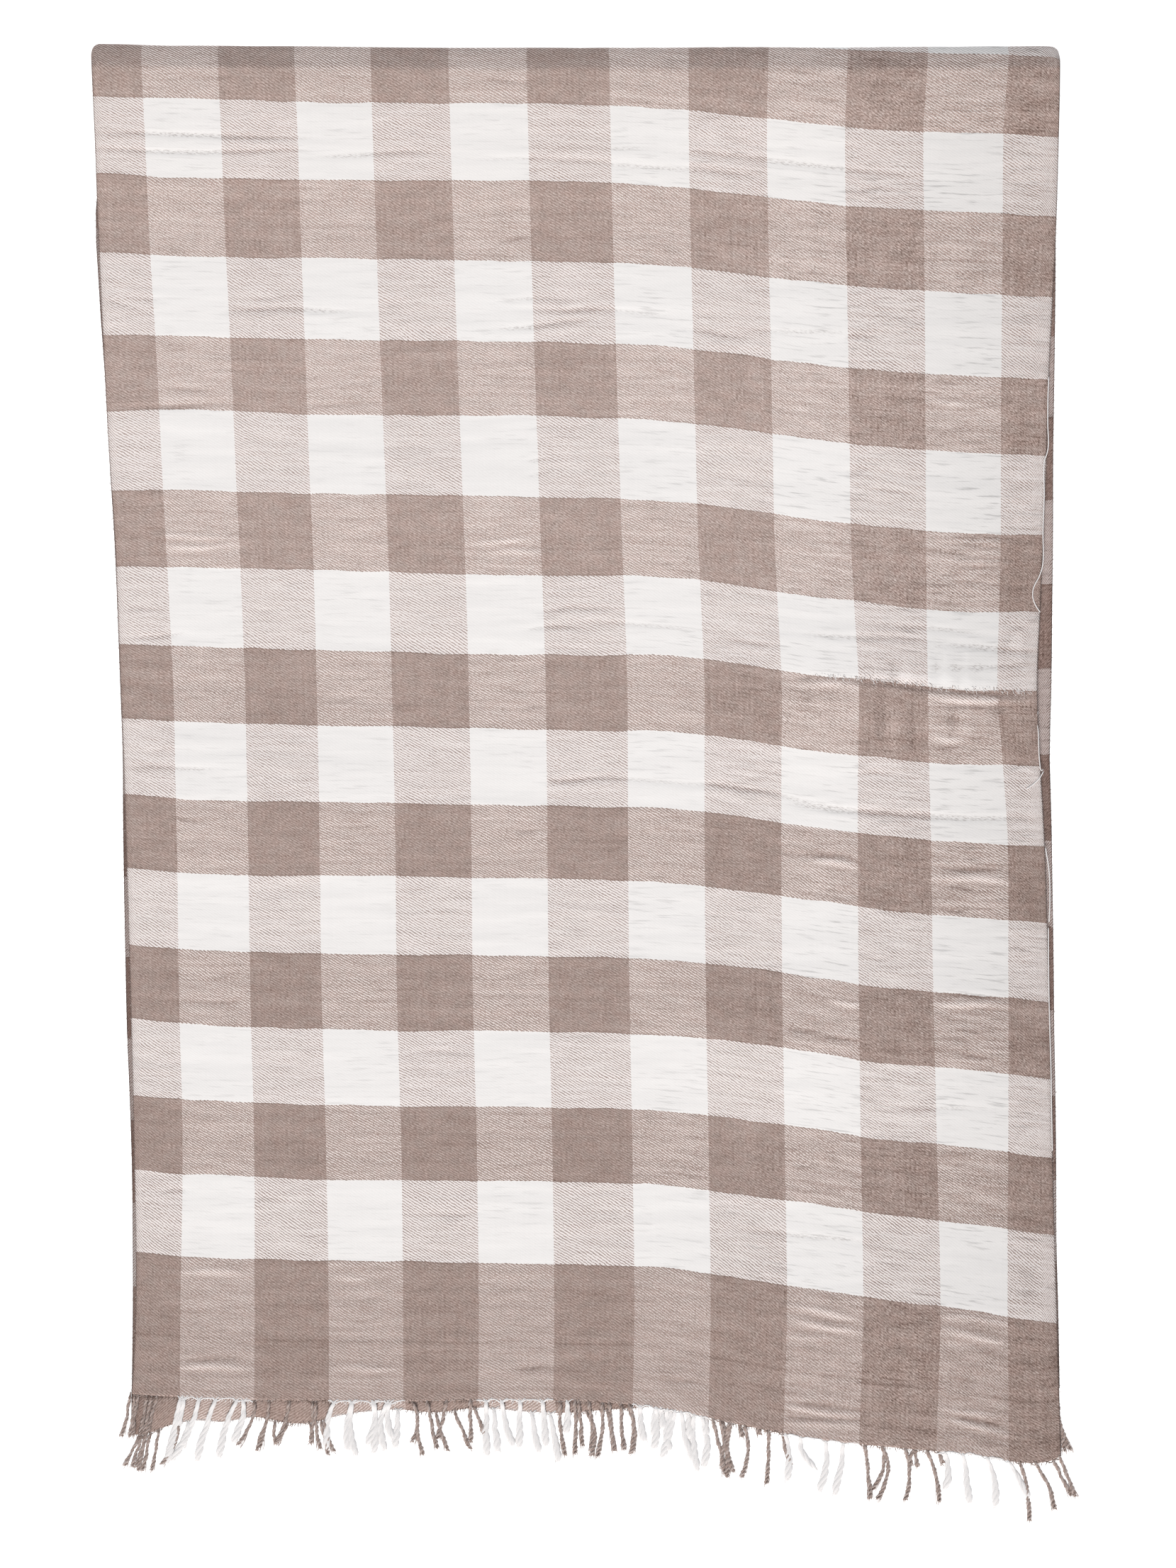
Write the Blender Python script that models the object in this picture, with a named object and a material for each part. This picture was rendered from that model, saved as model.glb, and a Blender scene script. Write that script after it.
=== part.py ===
"""Pashmina stole, folded once across its length and laid flat on a surface.

Frame: X runs across the cloth, Y runs along it with the fold at +Y and the
fringe at -Y, and Z is up.  The origin is at the middle of the footprint, on
the surface that the stole rests on.  Everything is in metres.

"down" is the distance below the edge of the fold, measured along -Y.
"""
import math
from collections import namedtuple

import bmesh
import bpy

MM = 0.001

# ---- driving sizes -------------------------------------------------------
HALF_LENGTH = 535.8 * MM    # half of the laid length, fringe tips included
WALL = 1.2 * MM             # the woven cloth with its nap
SEAM_GAP = 0.3 * MM         # between pieces, and between the two layers
CORNER = 6.0 * MM           # rounding of the fold's two outer corners

LOOP_HEIGHT = 12.6 * MM     # the unpressed fold stands this high
LOOP_CREST = 20.0 * MM      # its highest line, this far in from its edge
LOOP_END = 110.0 * MM       # where its two legs have come together
LOOP_SWELL = 0.10           # how much its height varies from side to side
SWELL_WAVE = 9.0            # radians of that wave between the two selvedges

FRINGE_REACH = 42.8 * MM    # hem to the tips of the knotted strands
FRINGE_FLARE_LEFT = 7.0 * MM
FRINGE_FLARE_RIGHT = 17.0 * MM
BACK_FRINGE_FLARE = 9.0 * MM

COLUMNS = 18                # steps across the cloth
CORNER_PARTS = (0.0, 0.15, 0.5, 1.0)    # steps round each rounded corner
PANEL_STEP = 24.0 * MM      # step along a panel, at most
END_STEPS = 12              # steps round the outer end of the fold
RAMP_STEPS = 12             # steps from the crest down to the front panel

TAUPE = (0.36, 0.27, 0.24, 1.0)
IVORY = (0.80, 0.77, 0.75, 1.0)
MIXED = (0.55, 0.48, 0.45, 1.0)
SHADE = (0.44, 0.36, 0.33, 1.0)

FRONT_Z = WALL + SEAM_GAP   # underside of the front panel

# ---- outline -------------------------------------------------------------
# The two selvedges of each layer: their X at a distance below the fold.
Edge = namedtuple("Edge", "down left right")
FRONT_EDGES = [
    Edge(0.000, -0.3590, 0.3420),
    Edge(0.060, -0.3578, 0.3423),
    Edge(0.150, -0.3557, 0.3413),
    Edge(0.275, -0.3485, 0.3390),
    Edge(0.400, -0.3413, 0.3315),
    Edge(0.490, -0.3388, 0.3280),
    Edge(0.590, -0.3365, 0.3370),
    Edge(0.710, -0.3330, 0.3388),
    Edge(0.830, -0.3295, 0.3402),
    Edge(1.030, -0.3290, 0.3433),
]
BACK_EDGES = [
    Edge(0.000, -0.3590, 0.3420),
    Edge(0.060, -0.3565, 0.3420),
    Edge(0.150, -0.3550, 0.3413),
    Edge(0.275, -0.3470, 0.3400),
    Edge(0.400, -0.3405, 0.3392),
    Edge(0.590, -0.3370, 0.3387),
    Edge(0.710, -0.3346, 0.3398),
    Edge(0.830, -0.3315, 0.3410),
    Edge(1.010, -0.3310, 0.3430),
]

# The two hems: how far below the fold each lies, at an X across the cloth.
Hem = namedtuple("Hem", "across down")
FRONT_HEM = [
    Hem(-0.330, 0.9800),
    Hem(-0.240, 0.9856),
    Hem(0.000, 0.9856),
    Hem(0.069, 0.9908),
    Hem(0.156, 1.0089),
    Hem(0.257, 1.0212),
    Hem(0.313, 1.0300),
    Hem(0.344, 1.0250),
]
BACK_HEM = [
    Hem(-0.331, 1.0100),
    Hem(-0.283, 1.0000),
    Hem(-0.215, 1.0000),
    Hem(-0.160, 0.9930),
    Hem(-0.077, 0.9900),
    Hem(0.000, 0.9920),
    Hem(0.100, 0.9880),
    Hem(0.343, 0.9760),
]

# The largest soft ridges of the front panel: middle, half length across the
# cloth, half width along it, turn from the X axis, and height.
Ridge = namedtuple("Ridge", "across down half_length half_width turn rise")
FRONT_RIDGES = [
    Ridge(0.235, 0.468, 0.150, 0.045, -3.0, 3.6 * MM),
    Ridge(-0.255, 0.545, 0.120, 0.050, 1.0, 1.8 * MM),
    Ridge(0.205, 0.720, 0.170, 0.048, -6.0, 2.6 * MM),
    Ridge(-0.080, 0.330, 0.160, 0.050, -1.0, 1.6 * MM),
    Ridge(0.200, 0.925, 0.170, 0.045, -8.0, 3.0 * MM),
]
RIDGE_FADE = 40.0 * MM      # ridges die out this near the seam and the hem


# ---- small helpers -------------------------------------------------------
def blend(a, b, t):
    """The value a fraction t of the way from a to b."""
    return a + (b - a) * t


def ease(t):
    """A smooth step from 0 to 1."""
    t = min(max(t, 0.0), 1.0)
    return t * t * (3.0 - 2.0 * t)


def read_table(rows, key, value, at):
    """Read a column of a table at a place between two of its rows."""
    if at <= getattr(rows[0], key):
        return getattr(rows[0], value)
    for low, high in zip(rows, rows[1:]):
        start, stop = getattr(low, key), getattr(high, key)
        if at <= stop:
            t = (at - start) / (stop - start)
            return blend(getattr(low, value), getattr(high, value), t)
    return getattr(rows[-1], value)


def material(name, colour, roughness):
    """A plain woollen finish in one colour."""
    made = bpy.data.materials.new(name)
    made.use_nodes = True
    shader = made.node_tree.nodes["Principled BSDF"]
    shader.inputs["Base Color"].default_value = colour
    shader.inputs["Roughness"].default_value = roughness
    shader.inputs["Metallic"].default_value = 0.0
    return made


def cloth_object(name, rows, finish, thickness, offset):
    """A grid of points, row by row, given its thickness by Solidify."""
    mesh = bpy.data.meshes.new(name)
    grid = bmesh.new()
    points = [[grid.verts.new(point) for point in row] for row in rows]
    for upper, lower in zip(points, points[1:]):
        for i in range(len(upper) - 1):
            grid.faces.new((upper[i], lower[i], lower[i + 1], upper[i + 1]))
    grid.normal_update()
    grid.to_mesh(mesh)
    grid.free()
    mesh.shade_smooth()
    mesh.materials.append(finish)
    piece = bpy.data.objects.new(name, mesh)
    bpy.context.collection.objects.link(piece)
    wall = piece.modifiers.new("wall", "SOLIDIFY")
    wall.thickness = thickness
    wall.offset = offset
    wall.use_even_offset = True
    return piece


# ---- the outline of a layer ----------------------------------------------
def edge_x(rows, down, u):
    """X of the point a fraction u of the way across a layer."""
    left = read_table(rows, "down", "left", down)
    right = read_table(rows, "down", "right", down)
    return blend(left, right, u)


def across_steps():
    """Fractions across the cloth, closer together at its two corners."""
    width = FRONT_EDGES[0].right - FRONT_EDGES[0].left
    near = [CORNER / width * part for part in CORNER_PARTS]
    middle = [i / COLUMNS for i in range(1, COLUMNS)]
    return near + middle + [1.0 - step for step in reversed(near)]


def corner_draw(u):
    """How far the fold's edge pulls back where its corners round off."""
    width = FRONT_EDGES[0].right - FRONT_EDGES[0].left
    from_side = min(u, 1.0 - u) * width
    t = max(0.0, 1.0 - from_side / CORNER)
    return CORNER * (1.0 - math.sqrt(1.0 - t * t))


# ---- the fold ------------------------------------------------------------
def fold_profile(height):
    """Middle line of the fold's wall, front leg to back leg: (down, z, t)."""
    low = WALL / 2.0
    high = height - WALL / 2.0
    front = FRONT_Z + WALL / 2.0
    line = []
    for i in range(RAMP_STEPS):
        t = i / RAMP_STEPS
        down = blend(LOOP_END, LOOP_CREST, t)
        line.append((down, blend(front, high, ease(t)), 0.0))
    middle, reach = (high + low) / 2.0, (high - low) / 2.0
    outer = LOOP_CREST - WALL / 2.0
    for i in range(END_STEPS + 1):
        angle = math.pi * (0.5 - i / END_STEPS)
        down = LOOP_CREST - outer * math.cos(angle)
        line.append((down, middle + reach * math.sin(angle), i / END_STEPS))
    line.append((blend(LOOP_CREST, LOOP_END, 0.5), low, 1.0))
    line.append((LOOP_END, low, 1.0))
    return line


def make_fold(finish):
    """The rounded turn of the cloth, from the front layer to the back one."""
    steps = across_steps()
    swell = [1.0 - LOOP_SWELL * (0.5 + 0.5 * math.sin(SWELL_WAVE * u)) for u in steps]
    profiles = [fold_profile(LOOP_HEIGHT * factor) for factor in swell]
    rows = []
    for k in range(len(profiles[0])):
        row = []
        for u, profile in zip(steps, profiles):
            down, z, t = profile[k]
            x = blend(edge_x(FRONT_EDGES, down, u), edge_x(BACK_EDGES, down, u), ease(t))
            nearness = max(0.0, 1.0 - down / LOOP_CREST)
            row.append((x, HALF_LENGTH - down - corner_draw(u) * nearness, z))
        rows.append(row)
    return cloth_object("top_fold", rows, finish, WALL, 0.0)


# ---- the panels ----------------------------------------------------------
def ridge_height(x, down, hem_down):
    """Height of the soft ridges at a point of the front panel."""
    height = 0.0
    for ridge in FRONT_RIDGES:
        turn = math.radians(ridge.turn)
        dx, dy = x - ridge.across, ridge.down - down
        along = (dx * math.cos(turn) + dy * math.sin(turn)) / ridge.half_length
        away = (dy * math.cos(turn) - dx * math.sin(turn)) / ridge.half_width
        height += ridge.rise * math.exp(-along * along - away * away)
    fade = ease((down - LOOP_END) / RIDGE_FADE) * ease((hem_down - down) / RIDGE_FADE)
    return height * fade


def panel_rows(edges, hem, steps, underside, ridged):
    """Points of a panel from the fold's leg down to its hem."""
    start = LOOP_END + SEAM_GAP
    longest = max(row.down for row in hem)
    count = math.ceil((longest - start) / PANEL_STEP)
    rows = []
    for k in range(count + 1):
        row = []
        for u in steps:
            hem_x = edge_x(edges, hem[0].down, u)
            hem_down = read_table(hem, "across", "down", hem_x)
            down = blend(start, hem_down, k / count)
            x = edge_x(edges, down, u)
            lift = ridge_height(x, down, hem_down) if ridged else 0.0
            row.append((x, HALF_LENGTH - down, underside + lift))
        rows.append(row)
    return rows


def make_panel(name, edges, hem, underside, ridged, finish):
    """One half of the cloth, a wall standing up from its underside."""
    steps = [i / COLUMNS for i in range(COLUMNS + 1)]
    rows = panel_rows(edges, hem, steps, underside, ridged)
    return cloth_object(name, rows, finish, WALL, 1.0)


# ---- the fringes ---------------------------------------------------------
def make_fringe(name, edges, hem, underside, flare_left, flare_right, finish):
    """The plain reach of a knotted fringe, from its hem to its tips."""
    steps = [i / COLUMNS for i in range(COLUMNS + 1)]
    rows = []
    for drop in (SEAM_GAP, FRINGE_REACH / 2.0, FRINGE_REACH):
        spread = drop / FRINGE_REACH
        row = []
        for u in steps:
            x = edge_x(edges, hem[0].down, u)
            down = read_table(hem, "across", "down", x) + drop
            flare = blend(-flare_left, flare_right, u) * spread
            row.append((x + flare, HALF_LENGTH - down, underside))
        rows.append(row)
    return cloth_object(name, rows, finish, WALL, 1.0)


# ---- build ---------------------------------------------------------------
def clear_scene():
    """Remove whatever the file opened with."""
    for old in list(bpy.data.objects):
        bpy.data.objects.remove(old, do_unlink=True)


def main():
    clear_scene()
    make_fold(material("fold_cloth", SHADE, 0.9))
    make_panel("front_panel", FRONT_EDGES, FRONT_HEM, FRONT_Z, True,
               material("front_cloth", MIXED, 0.9))
    make_panel("back_panel", BACK_EDGES, BACK_HEM, 0.0, False,
               material("back_cloth", TAUPE, 0.9))
    make_fringe("front_fringe", FRONT_EDGES, FRONT_HEM, FRONT_Z,
                FRINGE_FLARE_LEFT, FRINGE_FLARE_RIGHT,
                material("front_strands", IVORY, 0.95))
    make_fringe("back_fringe", BACK_EDGES, BACK_HEM, 0.0,
                BACK_FRINGE_FLARE, BACK_FRINGE_FLARE,
                material("back_strands", TAUPE, 0.95))


main()
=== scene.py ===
# %% [markdown]
# # A pashmina stole, folded once
# A pashmina stole is one length of soft goat-hair cloth, here 70 cm wide and 2 m long, woven in a
# wide taupe and ivory check and left with its warp ends loose as a fringe. It is folded across its
# middle and laid down, so we see the upper half, the round unpressed fold, and slivers of the half
# underneath. This lesson builds it as a weaver would think of it: first the plan of the threads,
# then where each thread lies, then the yarn and the light.

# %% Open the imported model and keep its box
import math
import random
from types import SimpleNamespace

import bpy
import numpy as np
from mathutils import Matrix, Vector, noise


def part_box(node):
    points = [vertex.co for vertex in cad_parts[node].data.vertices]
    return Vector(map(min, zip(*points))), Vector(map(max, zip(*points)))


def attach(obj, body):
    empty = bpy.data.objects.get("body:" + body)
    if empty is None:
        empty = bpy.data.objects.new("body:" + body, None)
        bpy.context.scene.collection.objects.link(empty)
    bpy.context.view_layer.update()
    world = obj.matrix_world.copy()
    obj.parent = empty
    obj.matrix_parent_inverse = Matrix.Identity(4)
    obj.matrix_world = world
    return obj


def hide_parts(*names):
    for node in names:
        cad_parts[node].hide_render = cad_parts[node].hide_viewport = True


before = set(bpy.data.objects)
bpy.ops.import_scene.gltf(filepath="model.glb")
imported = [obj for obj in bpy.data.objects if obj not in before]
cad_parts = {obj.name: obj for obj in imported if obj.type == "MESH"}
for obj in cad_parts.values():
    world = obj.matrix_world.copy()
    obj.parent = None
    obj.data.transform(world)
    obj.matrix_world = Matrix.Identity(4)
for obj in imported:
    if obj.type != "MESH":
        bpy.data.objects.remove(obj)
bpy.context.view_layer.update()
scene = bpy.context.scene
MM = 0.001

# %% Two helpers that every later step uses
def add_object(name, data):
    """Put a new object with this data into the scene."""
    thing = bpy.data.objects.new(name, data)
    scene.collection.objects.link(thing)
    return thing


def set_inputs(node, settings):
    """Set several sockets of a node by name."""
    for label, value in settings.items():
        node.inputs[label].default_value = value


print("helpers ready:", add_object.__name__, set_inputs.__name__)

# %% [markdown]
# ## The camera
# The stole is seen from straight above, as if it were pinned to a wall. A long lens a few metres
# away keeps the far corners square, which is how cloth is shown when its pattern matters. The
# camera looks down by default, so it only needs a height and a small shift of its middle.

# %% Camera straight above the cloth
CAMERA_HEIGHT = 3.0
FRAMED_HEIGHT = 1.1403
CAMERA_MIDDLE = (0.0013, -0.0008)
lens_data = bpy.data.cameras.new("camera")
lens_data.sensor_fit = "VERTICAL"
lens_data.sensor_height = 36.0
lens_data.lens = lens_data.sensor_height * CAMERA_HEIGHT / FRAMED_HEIGHT
lens_data.clip_end = 50.0
camera = add_object("camera", lens_data)
camera.location = (*CAMERA_MIDDLE, CAMERA_HEIGHT)
bpy.context.scene.camera = camera
print("lens (mm):", round(lens_data.lens, 1))

# %% [markdown]
# ## The floor and the light
# Soft cloth shows its creases when some of the light comes from one side and the rest from all
# round. A low, broad light at the hem end does the first job, so the slope of the fold, which
# faces away from it, turns darker; an even sky does the second and keeps the shadows pale. The sky
# is a touch cool and the low light a touch warm, so flat cloth stays neutral and shade turns cool.
# The Standard view transform is chosen so that a yarn's colour is shown as it was set.

# %% Pale floor
FLOOR_SIDE = 9.0
FLOOR_FINISH = {
    "Base Color": (0.93, 0.93, 0.93, 1.0), "Roughness": 0.9, "Specular IOR Level": 0.1,
    "Emission Color": (1.0, 1.0, 1.0, 1.0), "Emission Strength": 0.55,
}
half_floor = FLOOR_SIDE / 2
floor_mesh = bpy.data.meshes.new("studio_floor")
floor_corners = [(x * half_floor, y * half_floor, 0.0) for x, y in ((-1, -1), (1, -1), (1, 1), (-1, 1))]
floor_mesh.from_pydata(floor_corners, [], [(0, 1, 2, 3)])
floor = add_object("studio_floor", floor_mesh)
floor_paint = bpy.data.materials.new("pale_floor")
floor_paint.use_nodes = True
set_inputs(floor_paint.node_tree.nodes["Principled BSDF"], FLOOR_FINISH)
floor_mesh.materials.append(floor_paint)
print("floor side (m):", FLOOR_SIDE)

# %% Even sky and one low, broad light from the hem end
SKY_STRENGTH = 0.72
SUN_STRENGTH = 2.75
SUN_HEIGHT = math.radians(31)
SUN_TURN = math.radians(-12)
SUN_BREADTH = math.radians(25)
SKY_COLOUR = (0.965, 1.0, 1.033)
SUN_COLOUR = (1.048, 1.0, 0.954)
scene.view_settings.view_transform = "Standard"
sky = bpy.data.worlds.new("studio_sky")
sky.use_nodes = True
set_inputs(sky.node_tree.nodes["Background"], {"Strength": SKY_STRENGTH, "Color": (*SKY_COLOUR, 1.0)})
scene.world = sky
sun_data = bpy.data.lights.new("soft_light", "SUN")
sun_data.energy = SUN_STRENGTH
sun_data.angle = SUN_BREADTH
sun_data.color = SUN_COLOUR
sun = add_object("soft_light", sun_data)
sun.rotation_euler = (math.pi / 2 - SUN_HEIGHT, 0.0, SUN_TURN)
FLAT_LIGHT = SKY_STRENGTH + SUN_STRENGTH * math.sin(SUN_HEIGHT) / math.pi
print("light on a flat surface:", round(FLAT_LIGHT, 3))

# %% [markdown]
# ## The thread plan
# A weaver sets the check by counting threads. Across the loom the stripes run taupe, ivory, taupe
# and so on, with a narrow taupe stripe at each selvedge and one slightly wider in the middle. Along
# the loom every band is alike, and a deep taupe border closes each end. Both orders are the same
# read from either side, so a few lengths say it all.

# %% Lengths that set the check
CLOTH_WIDTH = 0.700
CLOTH_LENGTH = 2.000
SELVEDGE_STRIPE = 0.037
STRIPE = 0.0566
BORDER = 0.101
BAND = 0.058
BANDS_TO_MIDDLE = 15
middle_band_start = BORDER + BANDS_TO_MIDDLE * BAND
middle_band_end = CLOTH_LENGTH - middle_band_start
width_mm = CLOTH_WIDTH / MM
length_mm = CLOTH_LENGTH / MM
print("middle band runs from", round(middle_band_start, 3), "to", round(middle_band_end, 3))

# %% [markdown]
# ## Where the threads lie
# Loose cloth never lies square. Its stripes lean and pinch, its bands climb to the left and drop to
# the right, and the lower half has slid sideways. These are read off at a few places, as a pattern
# cutter marks balance points, and a smooth curve joins them. The tables below are in millimetres:
# "down" is the distance from the fold towards the hem.

# %% A smooth curve through a few marks
def smooth(at, marks, values):
    """Follow values through marks with a soft curve, going straight on past either end."""
    marks = np.asarray(marks, float)
    values = np.asarray(values, float)
    at = np.asarray(at, float)
    steps = np.diff(marks)
    slopes = np.diff(values) / steps
    tangents = np.concatenate(([slopes[0]], (slopes[:-1] + slopes[1:]) / 2, [slopes[-1]]))
    cell = np.clip(np.searchsorted(marks, at) - 1, 0, len(steps) - 1)
    part = (at - marks[cell]) / steps[cell]
    inside = np.clip(part, 0.0, 1.0)
    square = inside * inside
    cube = square * inside
    curve = (
        (2 * cube - 3 * square + 1) * values[cell]
        + (cube - 2 * square + inside) * steps[cell] * tangents[cell]
        + (3 * square - 2 * cube) * values[cell + 1]
        + (cube - square) * steps[cell] * tangents[cell + 1]
    )
    return curve + (part - inside) * steps[cell] * tangents[np.where(part > 1, cell + 1, cell)]


def column_of(table, column):
    """One column of a table of rows."""
    return [row[column] for row in table]


def follow(table, at, column=1):
    """Read a column of a table anywhere along its first column, on a soft curve."""
    return smooth(at, column_of(table, 0), column_of(table, column))


print("halfway along a soft curve through 0, 1, 4:", round(float(smooth(1.5, (0, 1, 2), (0, 1, 4))), 3))

# %% Blending, rising and easing
def between(marks, at, layers):
    """Blend, point by point, the two layers of values whose marks lie on either side."""
    marks = np.array(marks)
    cell = np.clip(np.searchsorted(marks, at, side="right") - 1, 0, len(marks) - 2)
    part = (at - marks[cell]) / (marks[cell + 1] - marks[cell])
    point = np.arange(len(at))
    return layers[cell, point] * (1 - part) + layers[cell + 1, point] * part


def ramp(value, start, length):
    """Rise evenly from 0 to 1 over a length that begins at a start."""
    return np.clip((value - start) / length, 0, 1)


def soft_step(part):
    """Bend an even rise from 0 to 1 so that it starts and ends level."""
    return part * part * (3 - 2 * part)


print("a soft step a quarter of the way:", soft_step(0.25))

# %% Stripes of the upper half: place across, at a few distances down
STRIPE_MARKS = (0, 37, 150.2, 206.8, 380, 549.8, 606.4, 663, 700)
UPPER_STRIPES = (
    (0, -359.1, -323, -212, -156.6, 16.5, 190, 248.4, 306.9, 343.5),
    (60, -356.7, -320.3, -209.5, -155, 17.6, 187.8, 244.7, 302.8, 342.8),
    (126, -354.9, -318.1, -207.7, -153.1, 19.1, 188.7, 245.4, 302.6, 341.6),
    (240, -349.7, -311.4, -203.6, -149, 22.2, 190.7, 246.4, 301.6, 336.1),
    (300, -346.5, -308.6, -201.5, -146.5, 24, 191.5, 246.7, 301.3, 334.2),
    (356, -342.6, -305.7, -199, -144.3, 25.8, 192.3, 246.9, 301.1, 332.1),
    (410, -340.4, -302.8, -197.2, -142.6, 28, 195, 247.2, 300, 329.7),
    (466, -338.3, -300, -195.9, -141.2, 29.9, 198, 248, 298.5, 327.4),
    (520, -336, -298.6, -194.6, -139.8, 30.2, 197.6, 249, 302.5, 329.6),
    (577, -334.3, -297.4, -193.8, -138.7, 30.4, 197.4, 250.5, 306.2, 332.8),
    (688, -331.2, -295.9, -192.3, -137.6, 31.4, 198, 252.1, 306.7, 336.1),
    (796, -328.6, -293.3, -189.2, -134.5, 33.5, 199.5, 254.7, 306.7, 338.5),
    (920, -327.3, -294.9, -187.1, -133, 34.9, 201.2, 257.3, 306, 341.8),
    (1000, -331.5, -295.5, -187, -133, 33.6, 198.8, 255.2, 306.9, 344.3),
)


def across_upper(thread, down):
    """Place across (mm) of a warp thread of the upper half at a distance down."""
    columns = np.array([follow(UPPER_STRIPES, down, 1 + k) for k in range(len(STRIPE_MARKS))])
    return between(STRIPE_MARKS, thread, columns)


print("upper half, width at the fold (mm):", UPPER_STRIPES[0][-1] - UPPER_STRIPES[0][1])

# %% Bands of the upper half: distance down at the middle, and how each tilts
BAND_DOWNS = (
    985.6, 886.1, 826.3, 772.2, 717.1, 662.4, 606.2, 553.2, 498.0, 443.3,
    385.6, 328.9, 270.1, 216.0, 157.2, 99.5, 43.8,
)
BAND_STARTS = [0.0] + [(BORDER + k * BAND) / MM for k in range(BANDS_TO_MIDDLE + 1)]
TILT_MARKS = (0, 45, 160, 350, 405, 460, 515, 572, 630, 690, 700)
UPPER_TILTS = (
    (0, -6.8, -5.0, -2.2, 0, 2.6, 6.8, 11.6, 16.8, 19.8, 22.4, 23.4),
    (43.8, -5.3, -4.6, -1.1, 0, 2.6, 7.2, 12.4, 18.0, 20.1, 22.7, 23.4),
    (99.5, -7.0, -3.6, -1.6, 0, 2.1, 7.3, 13.1, 18.6, 21.2, 24.2, 25.0),
    (157, -6.7, -4.6, -2.6, 0, 1.6, 7.4, 13.9, 19.3, 22.4, 25.8, 26.6),
    (270, -4.6, -5.7, -2.1, 0, 2.1, 7.2, 15.5, 21.1, 25.3, 27.3, 28.0),
    (385, -6.5, -6.2, -4.0, 0, 0.8, 6.4, 14.0, 20.3, 25.9, 25.6, 25.6),
    (443, -8.2, -6.7, -3.6, 0, -0.4, 5.7, 13.9, 19.2, 24.6, 25.8, 26.0),
    (498, -9.8, -6.2, -4.1, 0, 0.2, 6.0, 14.6, 19.9, 24.3, 25.6, 25.8),
    (606, -8.8, -4.8, -2.8, 0, 2.0, 7.2, 14.9, 22.1, 27.8, 30.9, 31.4),
    (717, -9.8, -6.2, -2.1, 0, 2.1, 6.7, 13.9, 22.7, 26.3, 33.0, 34.0),
    (826, -9.4, -6.2, -2.2, 0, 2.2, 9.3, 16.0, 24.2, 29.9, 37.6, 38.8),
    (886, -9.8, -5.7, -3.1, 0, 2.1, 9.8, 17.5, 25.8, 32.5, 41.2, 42.4),
    (985.6, -5.6, -3.0, -0.3, 0, 5.0, 16.5, 26.8, 32.8, 37.9, 43.6, 39.4),
)


def down_upper(thread, along):
    """Distance down (mm) of a point of the upper half. It goes below zero past the fold."""
    base = np.interp(along, BAND_STARTS, BAND_DOWNS) - np.maximum(along - BAND_STARTS[-1], 0)
    marks = column_of(UPPER_TILTS, 0)
    tilts = np.array([smooth(thread, TILT_MARKS, row[1:]) for row in UPPER_TILTS])
    return base + between(marks, np.clip(base, marks[0], marks[-1]), tilts)


print("bands in the upper half:", len(BAND_DOWNS) - 1)

# %% The lower half: its two selvedges, its bands and its uneven hem
LOWER_EDGES = (
    (0, -359.5, 343.5), (30, -358.6, 342.9), (60, -356.2, 342.2), (110, -355.2, 341.6),
    (116, -356.3, 341.5), (172, -354.6, 341.2), (240, -350, 340.4), (300, -346.8, 339.5),
    (356, -343.2, 339.4), (410, -340.9, 338.8), (466, -338.8, 338.2), (517, -337, 337),
    (560, -336.8, 338.2), (610, -336.1, 339), (662, -335.1, 339.8), (714, -334, 340.3),
    (765, -331.9, 341.2), (817, -330.3, 341.7), (868, -329.8, 341.9), (920, -329.7, 343.2),
    (1010, -331, 344.8),
)
LOWER_BANDS = (
    (1029, 13.1, 6.4, -16.3), (1319, 311, 298, 269.6), (1725, 721.7, 707, 701.6), (1899, 902, 882, 884),
    (2000, 1010, 992, 976),
)
LOWER_HEM = (
    (-331, 1010), (-316, 1008), (-305, 1003.5), (-283, 999.5), (-264, 1000.5), (-240, 997),
    (-215, 1001.5), (-200, 1001), (-180, 996), (-160, 993), (-137, 991.5), (-110, 993.5), (-77, 990),
    (-50, 992.5), (-20, 994), (17, 991.5), (60, 989), (100, 988), (200, 984), (343, 976),
)
HEM_BENDS_FROM, HEM_BENDS_OVER = 1899.0, 101.0


def lie_of_lower(thread, along):
    """Place across and distance down (mm) of a point of the lower half."""
    part = thread / width_mm

    def bowed(left, middle, right):
        bow = middle - (left + right) / 2
        return left * (1 - part) + right * part + bow * 4 * part * (1 - part)

    down = bowed(*[follow(LOWER_BANDS, along, k) for k in (1, 2, 3)])
    across = follow(LOWER_EDGES, down, 1) * (1 - part) + follow(LOWER_EDGES, down, 2) * part
    uneven = follow(LOWER_HEM, across) - bowed(*LOWER_BANDS[-1][1:])
    return across, down + uneven * ramp(along, HEM_BENDS_FROM, HEM_BENDS_OVER) ** 2


print("lower half, length at the left selvedge (mm):", LOWER_HEM[0][1])

# %% [markdown]
# ## The fold
# Good pashmina is never ironed at a fold, so the cloth turns over in a soft roll. Seen from the
# side it is a flattened loop: it rises from the flat half, rolls over a low crest, drops steeply at
# the outer edge and tucks under. A profile of points is walked by length, so that the cloth keeps
# its length as it goes round, as real cloth does.

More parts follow.
